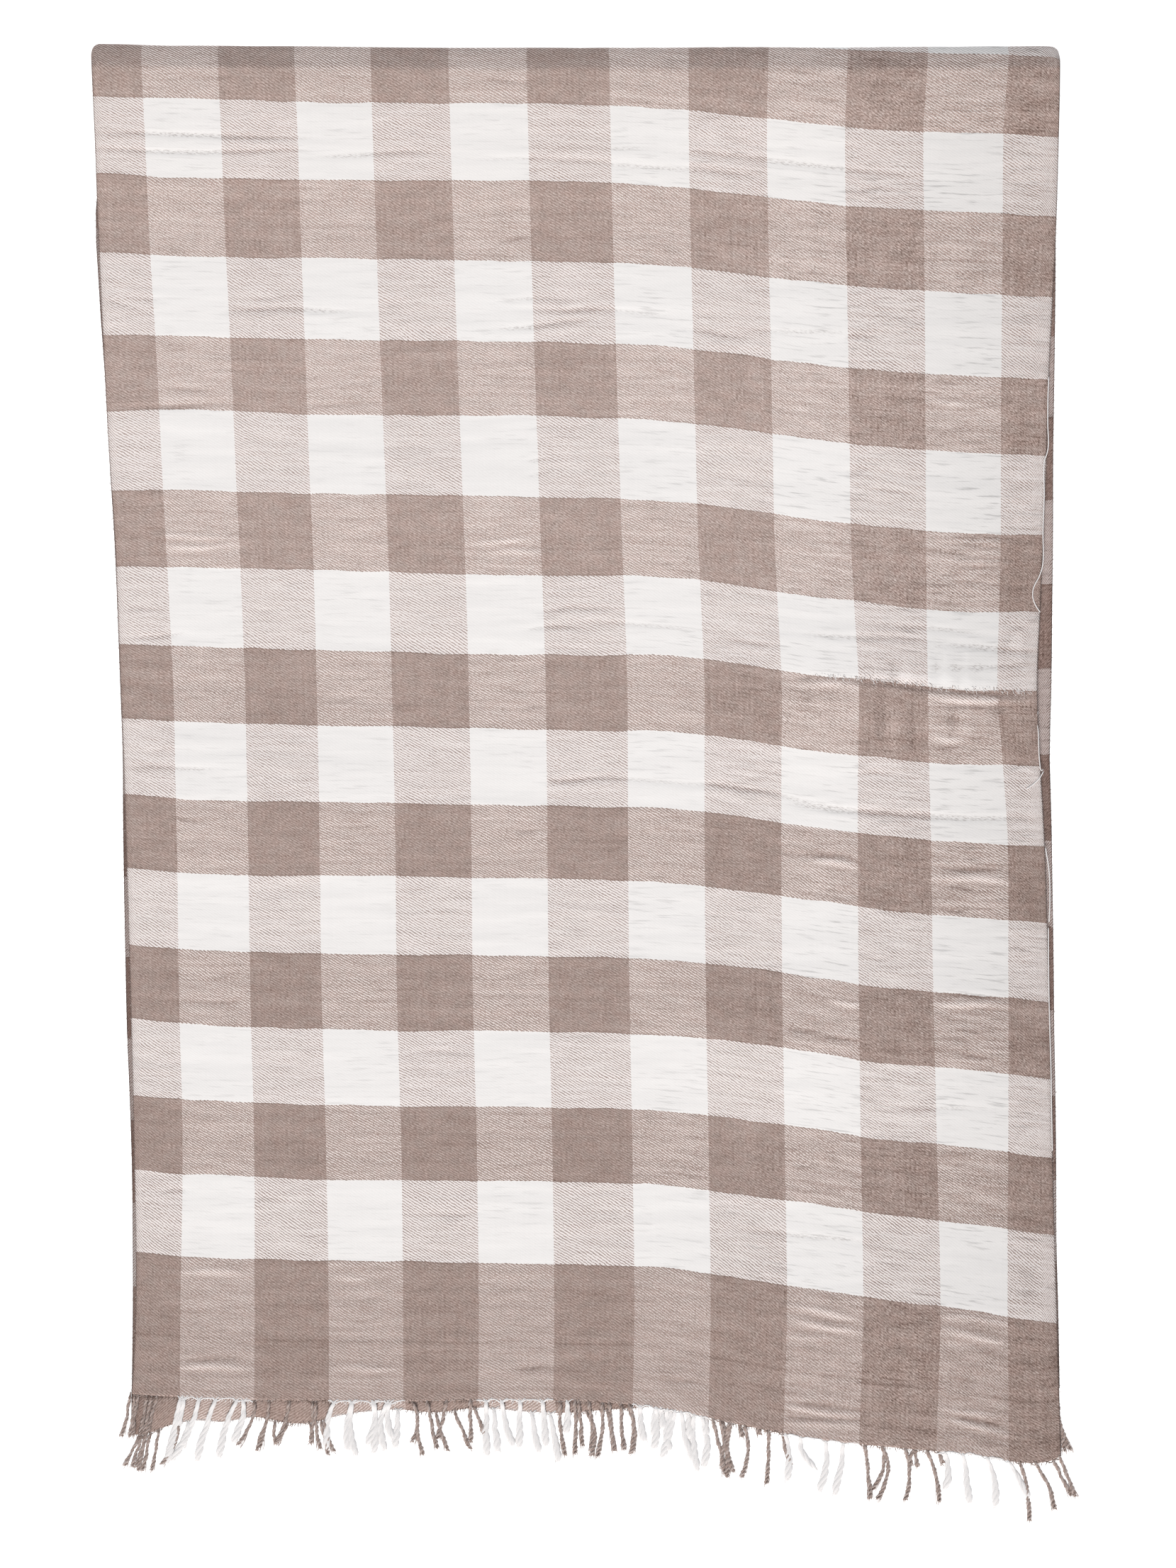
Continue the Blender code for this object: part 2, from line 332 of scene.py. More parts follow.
# %% Side view of the fold, walked by length
lower_low, lower_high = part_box("back_panel")
FOLD_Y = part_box("top_fold")[1].y
CAD_WALL = (lower_high.z - lower_low.z) / MM
CLOTH_THICKNESS = 0.9
AIR_BETWEEN = 0.3
LOWER_Z = CLOTH_THICKNESS / 2
UPPER_Z = 2 * CAD_WALL + AIR_BETWEEN - CLOTH_THICKNESS / 2
CREST_DOWN = 18.6
CREST_Z = 11.2
RISE_END = 140.0
ROLL_SHAPE = (
    (18.6, 11.2), (17.6, 11.14), (16.4, 10.85), (14.5, 10.1), (12.0, 9.1), (8.0, 7.4), (5.0, 6.05),
    (3.0, 5.0), (1.7, 4.1), (0.85, 3.3), (0.5, 2.6), (0.6, 1.8), (1.4, 1.05), (3.0, 0.62), (6.0, 0.48),
    (9.0, 0.45), (18.6, 0.45),
)
roll_points = np.array(ROLL_SHAPE)
roll_lengths = np.concatenate(([0.0], np.cumsum(np.hypot(*np.diff(roll_points, axis=0).T))))
ROLL_LENGTH = roll_lengths[-1]


def place_on_profile(reach):
    """Turn a reach towards the fold into (down, height). Past the crest it follows the roll."""
    walked = CREST_DOWN - reach
    swell = soft_step(np.clip((RISE_END - reach) / (RISE_END - CREST_DOWN), 0, 1))
    held = np.clip(walked, 0, ROLL_LENGTH)
    down = np.where(reach > CREST_DOWN, reach, smooth(held, roll_lengths, roll_points[:, 0]))
    height = smooth(held, roll_lengths, roll_points[:, 1])
    height = np.where(reach > CREST_DOWN, UPPER_Z + (CREST_Z - UPPER_Z) * swell, height)
    under = walked > ROLL_LENGTH
    down = np.where(under, CREST_DOWN + walked - ROLL_LENGTH, down)
    return down, np.where(under, LOWER_Z, height)


FOLD_EDGE = (
    (-360, -1.6), (-340, -1.1), (-318, -0.3), (-290, 0.0), (-200, 0.6), (-150, 1.2), (-90, 1.5),
    (60, 1.5), (110, 1.1), (180, 1.4), (220, 1.0), (300, 0.5), (345, 0.4),
)
EDGE_REACH, EDGE_FADE = 60.0, 1.5


def drop_of_fold(across, down):
    """How far (mm) the outer edge of the fold bows in, which dies out a little way from it."""
    return follow(FOLD_EDGE, across) * np.clip(1 - down / EDGE_REACH, 0, 1) ** EDGE_FADE


print("cloth used by the roll (mm):", round(ROLL_LENGTH, 1))

# %% [markdown]
# ## Creases, pleats and gathers
# The cloth was folded small, then shaken out, so short soft creases run across it, most of them
# near level. Each is listed: how far across, how far down, half its length, how it turns,
# how deep it is and how wide. A positive depth is a raised pleat, a negative one a dip. Cloth that
# is pressed down has to go somewhere, so each crease has a low bank on either side, and as a real
# one is never even, it fades at its ends and bows a little along its run. Where the cloth was
# caught and pulled at the right, short gathers run the other way, from the pucker up and down. All
# of them lie on a few broad, low rises. They are added up as heights here and raised in the mesh
# later, because only real relief turns with the light and casts its own shade.

# %% Broad soft rises that the whole cloth rides over
RISES = (
    (235, 468, 150, -3, 3.4, 45), (-255, 545, 120, 1, 1.8, 50), (205, 720, 170, -6, 2.4, 48),
    (-80, 330, 160, -1, 1.6, 50), (200, 925, 170, -8, 2.8, 45),
)
print("highest rise (mm):", max(rise[4] for rise in RISES))

# %% Creases of the upper half: across, down, half length, turn in degrees, depth, half width
CREASES = (
    # first ivory and taupe bands below the fold
    (-275, 66.6, 75, -0.4, -0.8, 2.0), (-280, 77.2, 80, -0.4, -0.8, 1.9), (-150, 80, 50, 0, -0.55, 2.6),
    (-40, 84, 50, 0, -0.35, 2.6), (-30, 75, 25, 0, -0.3, 2.4), (18, 75, 32, -2, -0.35, 2.4),
    (60, 91, 72, -6, -0.45, 2.8), (150, 87, 100, -5, -0.5, 3.0), (100, 91, 30, -5, -0.4, 2.4),
    (206, 105, 12, 0, -0.5, 2.2), (318, 80, 10, -4, -0.4, 2.2), (-60, 27, 15, 0, -0.5, 2.0),
    (176, 40, 15, -4, -0.4, 2.2), (-52, 141, 12, 0, -0.5, 2.2),
    # second ivory band
    (-215, 193, 50, 0, -0.6, 2.6), (-320, 184, 15, 2, -0.4, 2.2), (-228, 183, 22, 0, -0.4, 2.2),
    (-335, 190, 20, -22, -0.45, 2.2), (-35, 185, 30, 3, -0.45, 2.4), (-25, 192, 28, 0, -0.4, 2.2),
    (-30, 203, 38, 4, -0.6, 2.6), (0, 193, 15, 0, -0.6, 2.2), (30, 194, 35, -2, -0.4, 2.4),
    (100, 210, 30, -7, -0.6, 2.4), (150, 208, 60, -3, -0.4, 2.8), (198, 213, 12, 0, -0.6, 2.2),
    # third taupe and ivory bands
    (-290, 250, 27, 1, -0.4, 2.4), (-300, 262, 45, 1, -0.6, 2.6), (-180, 262, 30, 0, -0.35, 2.4),
    (260, 245, 10, -3, -0.6, 2.4), (260, 259, 15, -3, 0.5, 2.8), (-35, 301, 10, 0, -0.5, 2.2),
    (-35, 313, 10, 0, -0.35, 2.2), (155, 276, 15, -4, -0.4, 2.4), (285, 287, 10, -5, -0.4, 2.2),
    (196, 309, 10, -3, -0.4, 2.2), (222, 325, 22, -8, -0.45, 2.4),
    # fourth bands
    (-288, 357, 28, 1, 0.75, 2.4), (-280, 364, 30, 2, 0.7, 2.4), (-60, 361, 22, 0, 0.7, 2.4),
    (-52, 369, 22, 0, 0.65, 2.4), (186, 374, 10, -4, -0.4, 2.2), (265, 384, 12, -4, -0.55, 2.4),
    (290, 358, 34, -4, -0.5, 2.3), (288, 365, 36, -4, -0.45, 2.3), (292, 372, 38, -5, -0.5, 2.3),
    (290, 379, 34, -4, -0.45, 2.3), (286, 392, 30, -4, -0.45, 2.3),
    (-319, 410, 16, 2, -0.4, 2.2), (-234, 410, 14, 0, -0.35, 2.2), (-16, 410, 16, 0, -0.55, 2.4),
    (-22, 424, 24, 2, -0.55, 2.4), (-15, 438, 18, 0, -0.4, 2.2), (-310, 429, 20, 2, -0.55, 2.4),
    (6, 410, 20, -2, -0.4, 2.2), (40, 422, 55, -2, -0.4, 2.6), (120, 434, 20, -4, -0.55, 2.4),
    (200, 430, 48, -4, -0.5, 2.8), (250, 425, 48, -5, -0.45, 2.6), (297, 439, 42, -3, -0.7, 2.8),
    (312, 422, 8, -6, -0.6, 2.2), (290, 452, 40, -2, -0.5, 2.6),
    # the pucker at the right, where the cloth was caught and pulled
    (256, 461, 66, -4, 0.35, 3.4), (246, 466.6, 80, -4, -1.4, 2.4), (288, 475.6, 40, -1.5, 0.9, 3.0),
    (180, 464.5, 24, -2, 0.7, 3.0), (288, 481.5, 34, -1, -0.5, 2.2), (262, 504, 11, -2, 0.55, 2.4),
    (264, 509.5, 13, -2, -0.6, 2.2), (264, 491, 12, -3, -0.4, 2.0), (-55, 469, 10, 0, -0.35, 2.2),
    (-36, 480, 11, 0, -0.5, 2.4), (-172, 475, 12, 0, -0.35, 2.2),
    # fifth ivory band and the long crease that sags through it
    (-307, 513, 8, 0, -0.4, 2.2), (-300, 525, 34, 1, -0.55, 2.4), (-16, 534, 16, 0, -0.6, 2.4),
    (5, 533, 20, 0, -0.5, 2.4), (40, 535, 52, -2, -0.4, 2.6), (110, 540, 20, -4, -0.6, 2.4),
    (120, 533, 12, -3, -0.4, 2.2), (212, 530, 20, -4, -0.4, 2.4), (128, 543, 44, -9, -0.6, 2.6),
    (205, 556.5, 58, -4, -0.95, 3.0), (286, 561.5, 44, -3, -0.65, 2.6), (318, 527, 8, -4, 0.45, 2.4),
    # sixth bands
    (-292, 563, 12, 0, -0.6, 2.4), (-41, 570, 14, 0, -0.4, 2.2), (171, 589, 26, -6, -0.65, 2.6),
    (183, 595, 17, -6, 0.85, 2.6), (258, 591, 13, -5, -0.4, 2.2), (276, 598, 24, -4, -0.8, 2.4),
    (280, 606, 30, -5, 0.95, 3.0), (273, 612.5, 9, -4, -0.6, 2.2), (266, 628, 10, -4, -0.55, 2.4),
    (216, 664, 9, -5, -0.4, 2.2), (312, 657, 8, -5, -0.4, 2.2), (-306, 628, 7, 0, -0.4, 2.2),
    # seventh bands
    (-272, 695, 27, 1, -0.45, 2.6), (-270, 679, 10, 0, -0.35, 2.2), (-40, 703, 13, 0, -0.35, 2.2),
    (-101, 732, 21, 0, -0.4, 2.4), (160, 716, 18, -8, -0.6, 2.4), (180, 722, 18, -8, -0.55, 2.4),
    (268, 722, 14, -6, -0.4, 2.4), (282, 734, 15, -6, -0.6, 2.4), (252, 772, 40, -2, -0.4, 2.8),
    # towards the border
    (-299, 833, 9, 0, -0.55, 2.4), (-230, 839, 11, 0, -0.5, 2.4), (-98, 850, 14, 0, -0.5, 2.4),
    (158, 865, 58, -7, -0.45, 2.8), (-272, 892, 26, 0, 0.8, 2.6), (-172, 896, 12, 0, 0.65, 2.4),
    (-154, 909, 11, 0, -0.4, 2.2), (-272, 955, 26, 0, -0.6, 2.4), (-270, 961, 26, 0, 0.9, 2.6),
    (-160, 961, 24, 0, 0.65, 2.4), (-40, 961, 15, 0, -0.6, 2.4), (-96, 968, 9, 0, -0.35, 2.2),
    (174, 921, 28, -9, 0.85, 2.6), (174, 930, 28, -9, 0.8, 2.6), (160, 939, 20, -9, 0.6, 2.4),
    (282, 926, 26, -8, 0.8, 2.6), (282, 938, 26, -9, 0.85, 2.6), (66, 970, 20, -4, -0.4, 2.4),
    (165, 983.5, 26, -4, 0.3, 2.4), (171, 989.5, 28, -4, -0.4, 1.9), (171, 992.5, 32, -6, 0.95, 2.4),
    (171, 998, 30, -4, -0.5, 1.8), (171, 1002.2, 30, -4, 0.8, 2.6), (215, 998, 10, 0, 0.4, 2.2),
    (246, 1001, 8, 0, 0.4, 2.2), (275, 993, 24, -11, 0.95, 2.6), (279, 1000, 25, -9, -0.6, 1.8),
    (281, 1003, 29, -12, 1.0, 2.8), (317, 1010.5, 10, -2, 0.45, 2.4),
    # two pleats and a dip of the seventh taupe band, at the right
    (278, 697, 27, -3, 0.9, 2.4), (280, 691.5, 27, -3, -0.7, 2.2), (188, 696, 12, -4, 0.8, 2.4),
)

# Gathers that run down the cloth from the pucker: down, across, half length, turn, depth, half width
GATHERS = (
    (488, 213, 17, 3, -0.6, 4.4), (488, 201, 14, 0, 0.25, 4.4), (495, 224, 17, 0, 0.5, 4.8),
    (497, 236, 17, -3, -0.5, 3.8), (490, 266, 12, 5, -0.24, 3.4), (492, 274, 13, -3, 0.14, 4.0),
    (492, 284, 14, 0, -0.12, 4.0), (480, 299, 13, 5, -0.34, 3.2), (487, 310, 13, 0, 0.22, 4.5),
    (450, 254, 14, 3, -0.2, 3.4), (449, 261, 14, 0, 0.18, 3.4), (451, 268, 13, -3, -0.18, 3.4),
    (448, 275, 14, 0, 0.18, 3.4), (451, 284, 13, 3, -0.18, 3.4),
    (436, 313, 12, 0, 0.3, 3.6), (455, 222, 10, 0, -0.25, 3.6), (455, 232, 10, 0, 0.25, 3.6),
)
print("creases, gathers and rises placed by hand:", len(CREASES), len(GATHERS), len(RISES))

# %% Height that a list of creases adds
BANK_PLACE, BANK_WIDTH, BANK_SHARE = 2.4, 1.2, 0.2
RUNS_OUT_AT, END_FADE = 1.6, 1.2
BOW_TURN, BOW_SHIFT = 2.3, 1.7


def relief_of(marks, across, down, bow=0.0, bank_share=0.0):
    """Height (mm) that a list of creases adds at every point."""
    height = np.zeros_like(across)
    for number, (x, d, reach, turn, depth, width) in enumerate(marks):
        lean = math.tan(math.radians(turn))
        run = (across - x) / reach
        near = np.abs(run) < RUNS_OUT_AT
        wander = bow * np.sin(run[near] * BOW_TURN + number * BOW_SHIFT)
        off = (down[near] - d + (across[near] - x) * lean - wander) / width
        fade = np.exp(-np.abs(run[near]) ** 3 * END_FADE)
        banks = np.exp(-((np.abs(off) - BANK_PLACE) / BANK_WIDTH) ** 2)
        height[near] += depth * fade * (np.exp(-off * off) - bank_share * banks)
    return height


example = relief_of([(0, 0, 10, 0, 1.0, 2.0)], np.zeros(1), np.zeros(1))
print("a pleat 1 mm high adds at its middle (mm):", float(example[0]))

# %% [markdown]
# ## The cloth itself
# The whole stole is one sheet, so it is one mesh. A grid is laid over the flat cloth, every 1.6 mm
# along the half that shows and wider apart underneath, and each of its points is carried to where
# the threads lie. Points sit closer together at the selvedges, where the cloth curls, and round the
# pucker at the right. Even thin cloth has a thickness that catches light, so the grid gets a second
# face and a rim. The second face of the upper half is never seen, so one point in four along and
# across is enough for it.

# %% Grid lines over the flat cloth (mm)
UPPER_STEP = 1.6
ROLL_STEP = 1.62
LOWER_ROWS = 41
ROLL_FROM = 948.0
ROLL_TO = 1062.0
SELVEDGE_STEPS = [0, 0.7, 1.6, 3, 5, 8, 12, 17, 23, 30, 37]
LEFT_STEPS = 71
GATHER_STEPS = 34
GATHERS_FROM = 545.0
threads = np.concatenate((
    SELVEDGE_STEPS[:-1],
    np.linspace(SELVEDGE_STEPS[-1], GATHERS_FROM, LEFT_STEPS, endpoint=False),
    np.linspace(GATHERS_FROM, width_mm - SELVEDGE_STEPS[-1], GATHER_STEPS),
    width_mm - np.array(SELVEDGE_STEPS[-2::-1]),
))
picks = np.concatenate((
    np.arange(0, ROLL_FROM, UPPER_STEP),
    np.arange(ROLL_FROM, ROLL_TO, ROLL_STEP),
    np.linspace(ROLL_TO, length_mm, LOWER_ROWS),
))
COLUMNS = len(threads)
ROWS = len(picks)
TURN_ROW = ROWS - LOWER_ROWS
EVERY = 4
thread_grid, pick_grid = [axis.ravel() for axis in np.meshgrid(threads, picks)]
print("grid:", COLUMNS, "threads by", ROWS, "picks, left over:", (COLUMNS - 1) % EVERY, TURN_ROW % EVERY)

# %% Fine ripples that are never the same twice
RIPPLE_HEIGHT = 0.32
RIPPLE_SCALES = ((0.012, 0.085, 1.0), (0.03, 0.19, 0.5))
RIPPLE_LAYER = 100


def ripples(across, down):
    """Small level ripples (mm), long across the cloth and short along it."""
    total = np.zeros(len(across))
    for wide, tall, share in RIPPLE_SCALES:
        spots = zip(across * wide, down * tall)
        total += share * np.array([noise.noise(Vector((x, y, wide * RIPPLE_LAYER))) for x, y in spots])
    return RIPPLE_HEIGHT * total


print("highest ripple can be (mm):", RIPPLE_HEIGHT * sum(scale[2] for scale in RIPPLE_SCALES))

# %% [markdown]
# ## Two halves of one cloth
# The upper and the lower half are read from different tables, so they don't agree to the millimetre
# where they meet, just under the fold. Real cloth can't have a step there, so the lower half takes
# over the upper half's place at the join and eases back to its own within a hand's breadth. Then
# each point gets its height: from the roll of the fold, and from the creases, gathers, rises and
# ripples, which all die out before the roll. At both ends of the roll the corner is rounded.

# %% Carry every grid point to its place
JOIN_PICK = length_mm - middle_band_start / MM
SETTLE_LENGTH = 110.0
LOWEST_DOWN = 1040


def walk_upper(thread, along):
    """Reach towards the fold and place across (mm) of points of the upper half."""
    walked = down_upper(thread, along)
    return walked, across_upper(thread, np.clip(walked, 0, LOWEST_DOWN))


def walk_lower(thread, along):
    """The same two values for points of the lower half."""
    sideways, walked = lie_of_lower(thread, along)
    return 2 * CREST_DOWN - ROLL_LENGTH - walked, sideways


is_upper = pick_grid <= JOIN_PICK
join_picks = np.full(len(thread_grid), JOIN_PICK)
carried = 1 - soft_step(ramp(pick_grid, JOIN_PICK, SETTLE_LENGTH))
upper_walk, lower_walk = [walk(thread_grid, pick_grid) for walk in (walk_upper, walk_lower)]
upper_join, lower_join = [walk(thread_grid, join_picks) for walk in (walk_upper, walk_lower)]
reach, across = [
    np.where(is_upper, upper, lower + (upper_end - lower_end) * carried)
    for upper, lower, upper_end, lower_end in zip(upper_walk, lower_walk, upper_join, lower_join)
]
halves_apart = float(np.abs(upper_join[0] - lower_join[0]).max())
print("the two halves differed at the join by up to (mm):", round(halves_apart, 1))

# %% Heights of the creases, gathers, rises and ripples, which fade in below the fold: (from, over)
CREASES_FADE, RISES_FADE, RIPPLES_FADE = (4, 22), (60, 80), (10, 30)
RISES_END_BY = 40
CREASE_DEPTH, CREASE_WIDTH, THINNEST_CREASE = 0.62, 0.8, 1.7
CREASE_BOW, GATHER_BOW = 1.2, 0.8
shown = ramp(reach, *CREASES_FADE)
crease_marks = [
    (*mark[:4], mark[4] * CREASE_DEPTH, max(mark[5] * CREASE_WIDTH, THINNEST_CREASE)) for mark in CREASES
]
crease_relief = relief_of(crease_marks, across, reach, CREASE_BOW, BANK_SHARE) * shown
crease_relief += relief_of(GATHERS, reach, across, GATHER_BOW)
rise_relief = relief_of(RISES, across, reach) * shown
rise_relief *= ramp(reach, *RISES_FADE) * ramp(width_mm / 2 - np.abs(across), 0, RISES_END_BY)
ripple_relief = ripples(across, reach) * ramp(reach, *RIPPLES_FADE)
print("deepest crease (mm):", round(float(crease_relief.min()), 2))
print("highest crease (mm):", round(float(crease_relief.max()), 2))

# %% Round the corners of the roll, curl the selvedges and raise the relief
CORNER_RADIUS, CORNER_FADE, ROLL_TAIL = 6.5, 1.3, 12
SELVEDGE_CURL, CURL_WIDTH = 0.5, 4
down, height = place_on_profile(reach)
from_selvedge = np.minimum(thread_grid, width_mm - thread_grid)
corner_part = np.clip(1 - from_selvedge / CORNER_RADIUS, 0, 1)
corner_inset = CORNER_RADIUS * (1 - np.sqrt(1 - corner_part ** 2))
in_roll = np.clip((CREST_DOWN - down) / CREST_DOWN, 0, 1) * (reach > CREST_DOWN - ROLL_LENGTH - ROLL_TAIL)
down = down + corner_inset * in_roll ** CORNER_FADE
down = down + drop_of_fold(across, down)
curl = -SELVEDGE_CURL * np.clip(1 - from_selvedge / CURL_WIDTH, 0, 1) ** 2
height = height + np.where(reach > CREST_DOWN, crease_relief + rise_relief + ripple_relief + curl, 0)
middle_surface = np.stack((across * MM, FOLD_Y - down * MM, height * MM), axis=1)
middle_surface = middle_surface.reshape(ROWS, COLUMNS, 3)
print("highest point of the cloth (mm):", round(float(height.max()), 1))

# %% [markdown]
# ## Giving the sheet its thickness
# Each face of the cloth is the middle surface moved half a thickness along its own facing. Blender's
# Solidify would do the same, but not with fewer points on the hidden face. Because that face has
# long edges, it would cut through a deep crease, so it is pushed down wherever a crease dips near.

# %% Offset the two faces from the middle surface
PUSH_LIMIT, PUSH_SHARE = 1.5, 0.8
along_lines = np.gradient(middle_surface, axis=0)
across_lines = np.gradient(middle_surface, axis=1)
facing = np.cross(across_lines, along_lines)
facing /= np.linalg.norm(facing, axis=2, keepdims=True)
half_thick = CLOTH_THICKNESS * MM / 2
outer_face = middle_surface + facing * half_thick
inner_face = middle_surface - facing * half_thick
dips = crease_relief.reshape(ROWS, COLUMNS)
deepest = dips.copy()
for shift in range(-EVERY, EVERY + 1):
    for axis in (0, 1):
        deepest = np.minimum(deepest, np.roll(dips, shift, axis=axis))
inner_face[:, :, 2] -= np.clip(dips - deepest, 0, PUSH_LIMIT) * MM * PUSH_SHARE
coarse_face = inner_face[:TURN_ROW:EVERY, ::EVERY]
fine_face = inner_face[TURN_ROW:]
points = np.concatenate([face.reshape(-1, 3) for face in (outer_face, coarse_face, fine_face)])
points[:, 2] = np.maximum(points[:, 2], 0.0)
print("points of the outer face:", outer_face.size // 3)
print("points of the inner face:", (coarse_face.size + fine_face.size) // 3)

# %% Number the points of each face
def number_points(face, first):
    """Number the points of a face, from a first number on."""
    rows, columns = face.shape[:2]
    return first + np.arange(rows * columns).reshape(rows, columns)


def grid_faces(numbers):
    """Quads between neighbouring points of a grid."""
    corners = (numbers[:-1, :-1], numbers[:-1, 1:], numbers[1:, 1:], numbers[1:, :-1])
    return np.stack(corners, axis=-1).reshape(-1, 4)


def edge_faces(fine_edge, coarse_edge):
    """Faces between an edge with a point at every place and one with a point at every fourth."""
    runs = [fine_edge[k: len(fine_edge) - EVERY + k: EVERY] for k in range(EVERY + 1)]
    return np.stack(runs + [coarse_edge[1:], coarse_edge[:-1]], axis=-1)


def rim_quads(one_edge, other_edge):
    """Quads between two edges with the same number of points."""
    return np.stack((one_edge[:-1], one_edge[1:], other_edge[1:], other_edge[:-1]), axis=-1)


outer_at = number_points(outer_face, 0)
coarse_at = number_points(coarse_face, outer_at.size)
fine_at = number_points(fine_face, outer_at.size + coarse_at.size)
coarse_left, coarse_right = [np.append(coarse_at[:, side], fine_at[0, side]) for side in (0, -1)]
rims = [
    edge_faces(outer_at[:TURN_ROW + 1, 0], coarse_left),
    edge_faces(outer_at[:TURN_ROW + 1, -1], coarse_right)[:, ::-1],
    edge_faces(outer_at[0], coarse_at[0])[:, ::-1],
    rim_quads(outer_at[TURN_ROW:, 0], fine_at[:, 0]),
    rim_quads(outer_at[TURN_ROW:, -1], fine_at[:, -1])[:, ::-1],
    rim_quads(outer_at[-1], fine_at[-1]),
]
shell = [
    ("upper_outer", grid_faces(outer_at[:TURN_ROW + 1])),
    ("lower_outer", grid_faces(outer_at[TURN_ROW:])),
    ("upper_inner", grid_faces(coarse_at)[:, ::-1]),
    ("upper_inner", edge_faces(fine_at[0], coarse_at[-1])),
    ("lower_inner", grid_faces(fine_at)[:, ::-1]),
] + [("rim", rim) for rim in rims]
triangle_count = sum(len(faces) * (faces.shape[1] - 2) for _, faces in shell)
print("triangles in the shell:", triangle_count)

# %% Make the mesh and store the threads' own coordinates on it
ROUNDING_OVER, ROUNDING_ENDS = 1.5, -15
cloth_mesh = bpy.data.meshes.new("woven_cloth")
cloth_mesh.from_pydata(points.tolist(), [], [face for _, faces in shell for face in faces.tolist()])
cloth_mesh.shade_smooth()


def on_every_point(values):
    """Repeat a value of the grid for the points of all three faces."""
    grid = np.asarray(values).reshape(ROWS, COLUMNS)
    return np.concatenate((grid.ravel(), grid[:TURN_ROW:EVERY, ::EVERY].ravel(), grid[TURN_ROW:].ravel()))


point_thread = on_every_point(thread_grid)
point_pick = on_every_point(pick_grid)
is_inner = np.arange(len(points)) >= outer_at.size
place = cloth_mesh.attributes.new("cloth_place", "FLOAT_VECTOR", "POINT")
place.data.foreach_set("vector", np.stack((point_thread * MM, point_pick * MM, is_inner), axis=1).ravel())
rounding = np.clip((CREST_DOWN + 0.5 - down) / ROUNDING_OVER, 0, 1) * (reach > ROUNDING_ENDS)
for label, values in (("slack", crease_relief), ("rounding", rounding)):
    stored = cloth_mesh.attributes.new(label, "FLOAT", "POINT")
    stored.data.foreach_set("value", on_every_point(values))
cloth = add_object("woven_cloth", cloth_mesh)
print("cloth points:", len(cloth_mesh.vertices))

# %% [markdown]
# ## A flat pattern for painting
# When the finish is baked for use elsewhere, each face needs its own patch of a flat picture. The
# upper face is what people look at, so it takes most of that picture, and the hidden faces share
# the strip beside it.

# %% Flat layout of the faces
PATCHES = {
    "upper_outer": (0.0, 0.0, 0.70, 1.0),
    "lower_outer": (0.715, 0.0, 0.975, 0.44),
    "lower_inner": (0.715, 0.45, 0.975, 0.89),
    "upper_inner": (0.715, 0.90, 0.975, 1.0),
    "rim": (0.985, 0.0, 0.995, 1.0),
}
layout = cloth_mesh.uv_layers.new(name="OFBake")
split_pick = picks[TURN_ROW]
STRETCHES = {"upper": (0, split_pick), "lower": (split_pick, length_mm), "rim": (0, length_mm)}
uv_parts = []
for kind, faces in shell:
    u_low, v_low, u_high, v_high = PATCHES[kind]
    loop_points = faces.ravel()
    side = is_inner[loop_points] if kind == "rim" else point_thread[loop_points] / width_mm
    first_pick, last_pick = STRETCHES[kind.split("_")[0]]
    part = (point_pick[loop_points] - first_pick) / (last_pick - first_pick)
    uv_parts.append(np.stack((u_low + (u_high - u_low) * side, v_low + (v_high - v_low) * part), axis=1))
layout.data.foreach_set("uv", np.concatenate(uv_parts).ravel())
print("patches:", ", ".join(PATCHES))

# %% [markdown]
# ## Tools for shader groups
# The check, the twill and the unevenness of hand-spun yarn are each worked out from the threads'
# own coordinates. Each becomes a node group with named sockets, so it can be read and reused like
# a small machine. A few helpers keep the building short: one opens a group, some add a sum, one
# eases a value from one range to another, and one adds a cloud of noise, stretched as yarn is. All
# the clouds are listed in one table, so that no two share a layer and their sizes can be compared.

# %% Helpers that build shader groups
def open_group(name, inputs, outputs):
    """Start a shader node group with named float sockets and return (tree, inputs, outputs)."""
    tree = bpy.data.node_groups.new(name, "ShaderNodeTree")
    for label, value in inputs.items():
        socket = tree.interface.new_socket(label, in_out="INPUT", socket_type="NodeSocketFloat")
        socket.default_value = value
    for label in outputs:
        tree.interface.new_socket(label, in_out="OUTPUT", socket_type="NodeSocketFloat")
    return tree, tree.nodes.new("NodeGroupInput").outputs, tree.nodes.new("NodeGroupOutput").inputs


def feed(tree, socket, value):
    """Link a socket to another, or set it to a number."""
    if isinstance(value, (int, float, tuple)):
        socket.default_value = value
    else:
        tree.links.new(value, socket)


def calc(tree, operation, *values):
    """Add a Math node and return its result."""
    node = tree.nodes.new("ShaderNodeMath")
    node.operation = operation
    for socket, value in zip(node.inputs, values):
        feed(tree, socket, value)
    return node.outputs[0]


def plus(tree, first, second):
    """Add two values."""
    return calc(tree, "ADD", first, second)


def less(tree, first, second):
    """Take the second value from the first."""
    return calc(tree, "SUBTRACT", first, second)


def times(tree, first, second):
    """Multiply two values."""
    return calc(tree, "MULTIPLY", first, second)


def times_plus(tree, first, second, third):
    """Multiply two values and add a third."""
    return calc(tree, "MULTIPLY_ADD", first, second, third)


def ease(tree, value, low, high, to_low=0.0, to_high=1.0):
    """Map a value smoothly from one range to another, held at both ends."""
    node = tree.nodes.new("ShaderNodeMapRange")
    node.interpolation_type = "SMOOTHSTEP"
    labels = ("Value", "From Min", "From Max", "To Min", "To Max")
    for label, setting in zip(labels, (value, low, high, to_low, to_high)):
        feed(tree, node.inputs[label], setting)
    return node.outputs["Result"]


print("shader helpers ready")

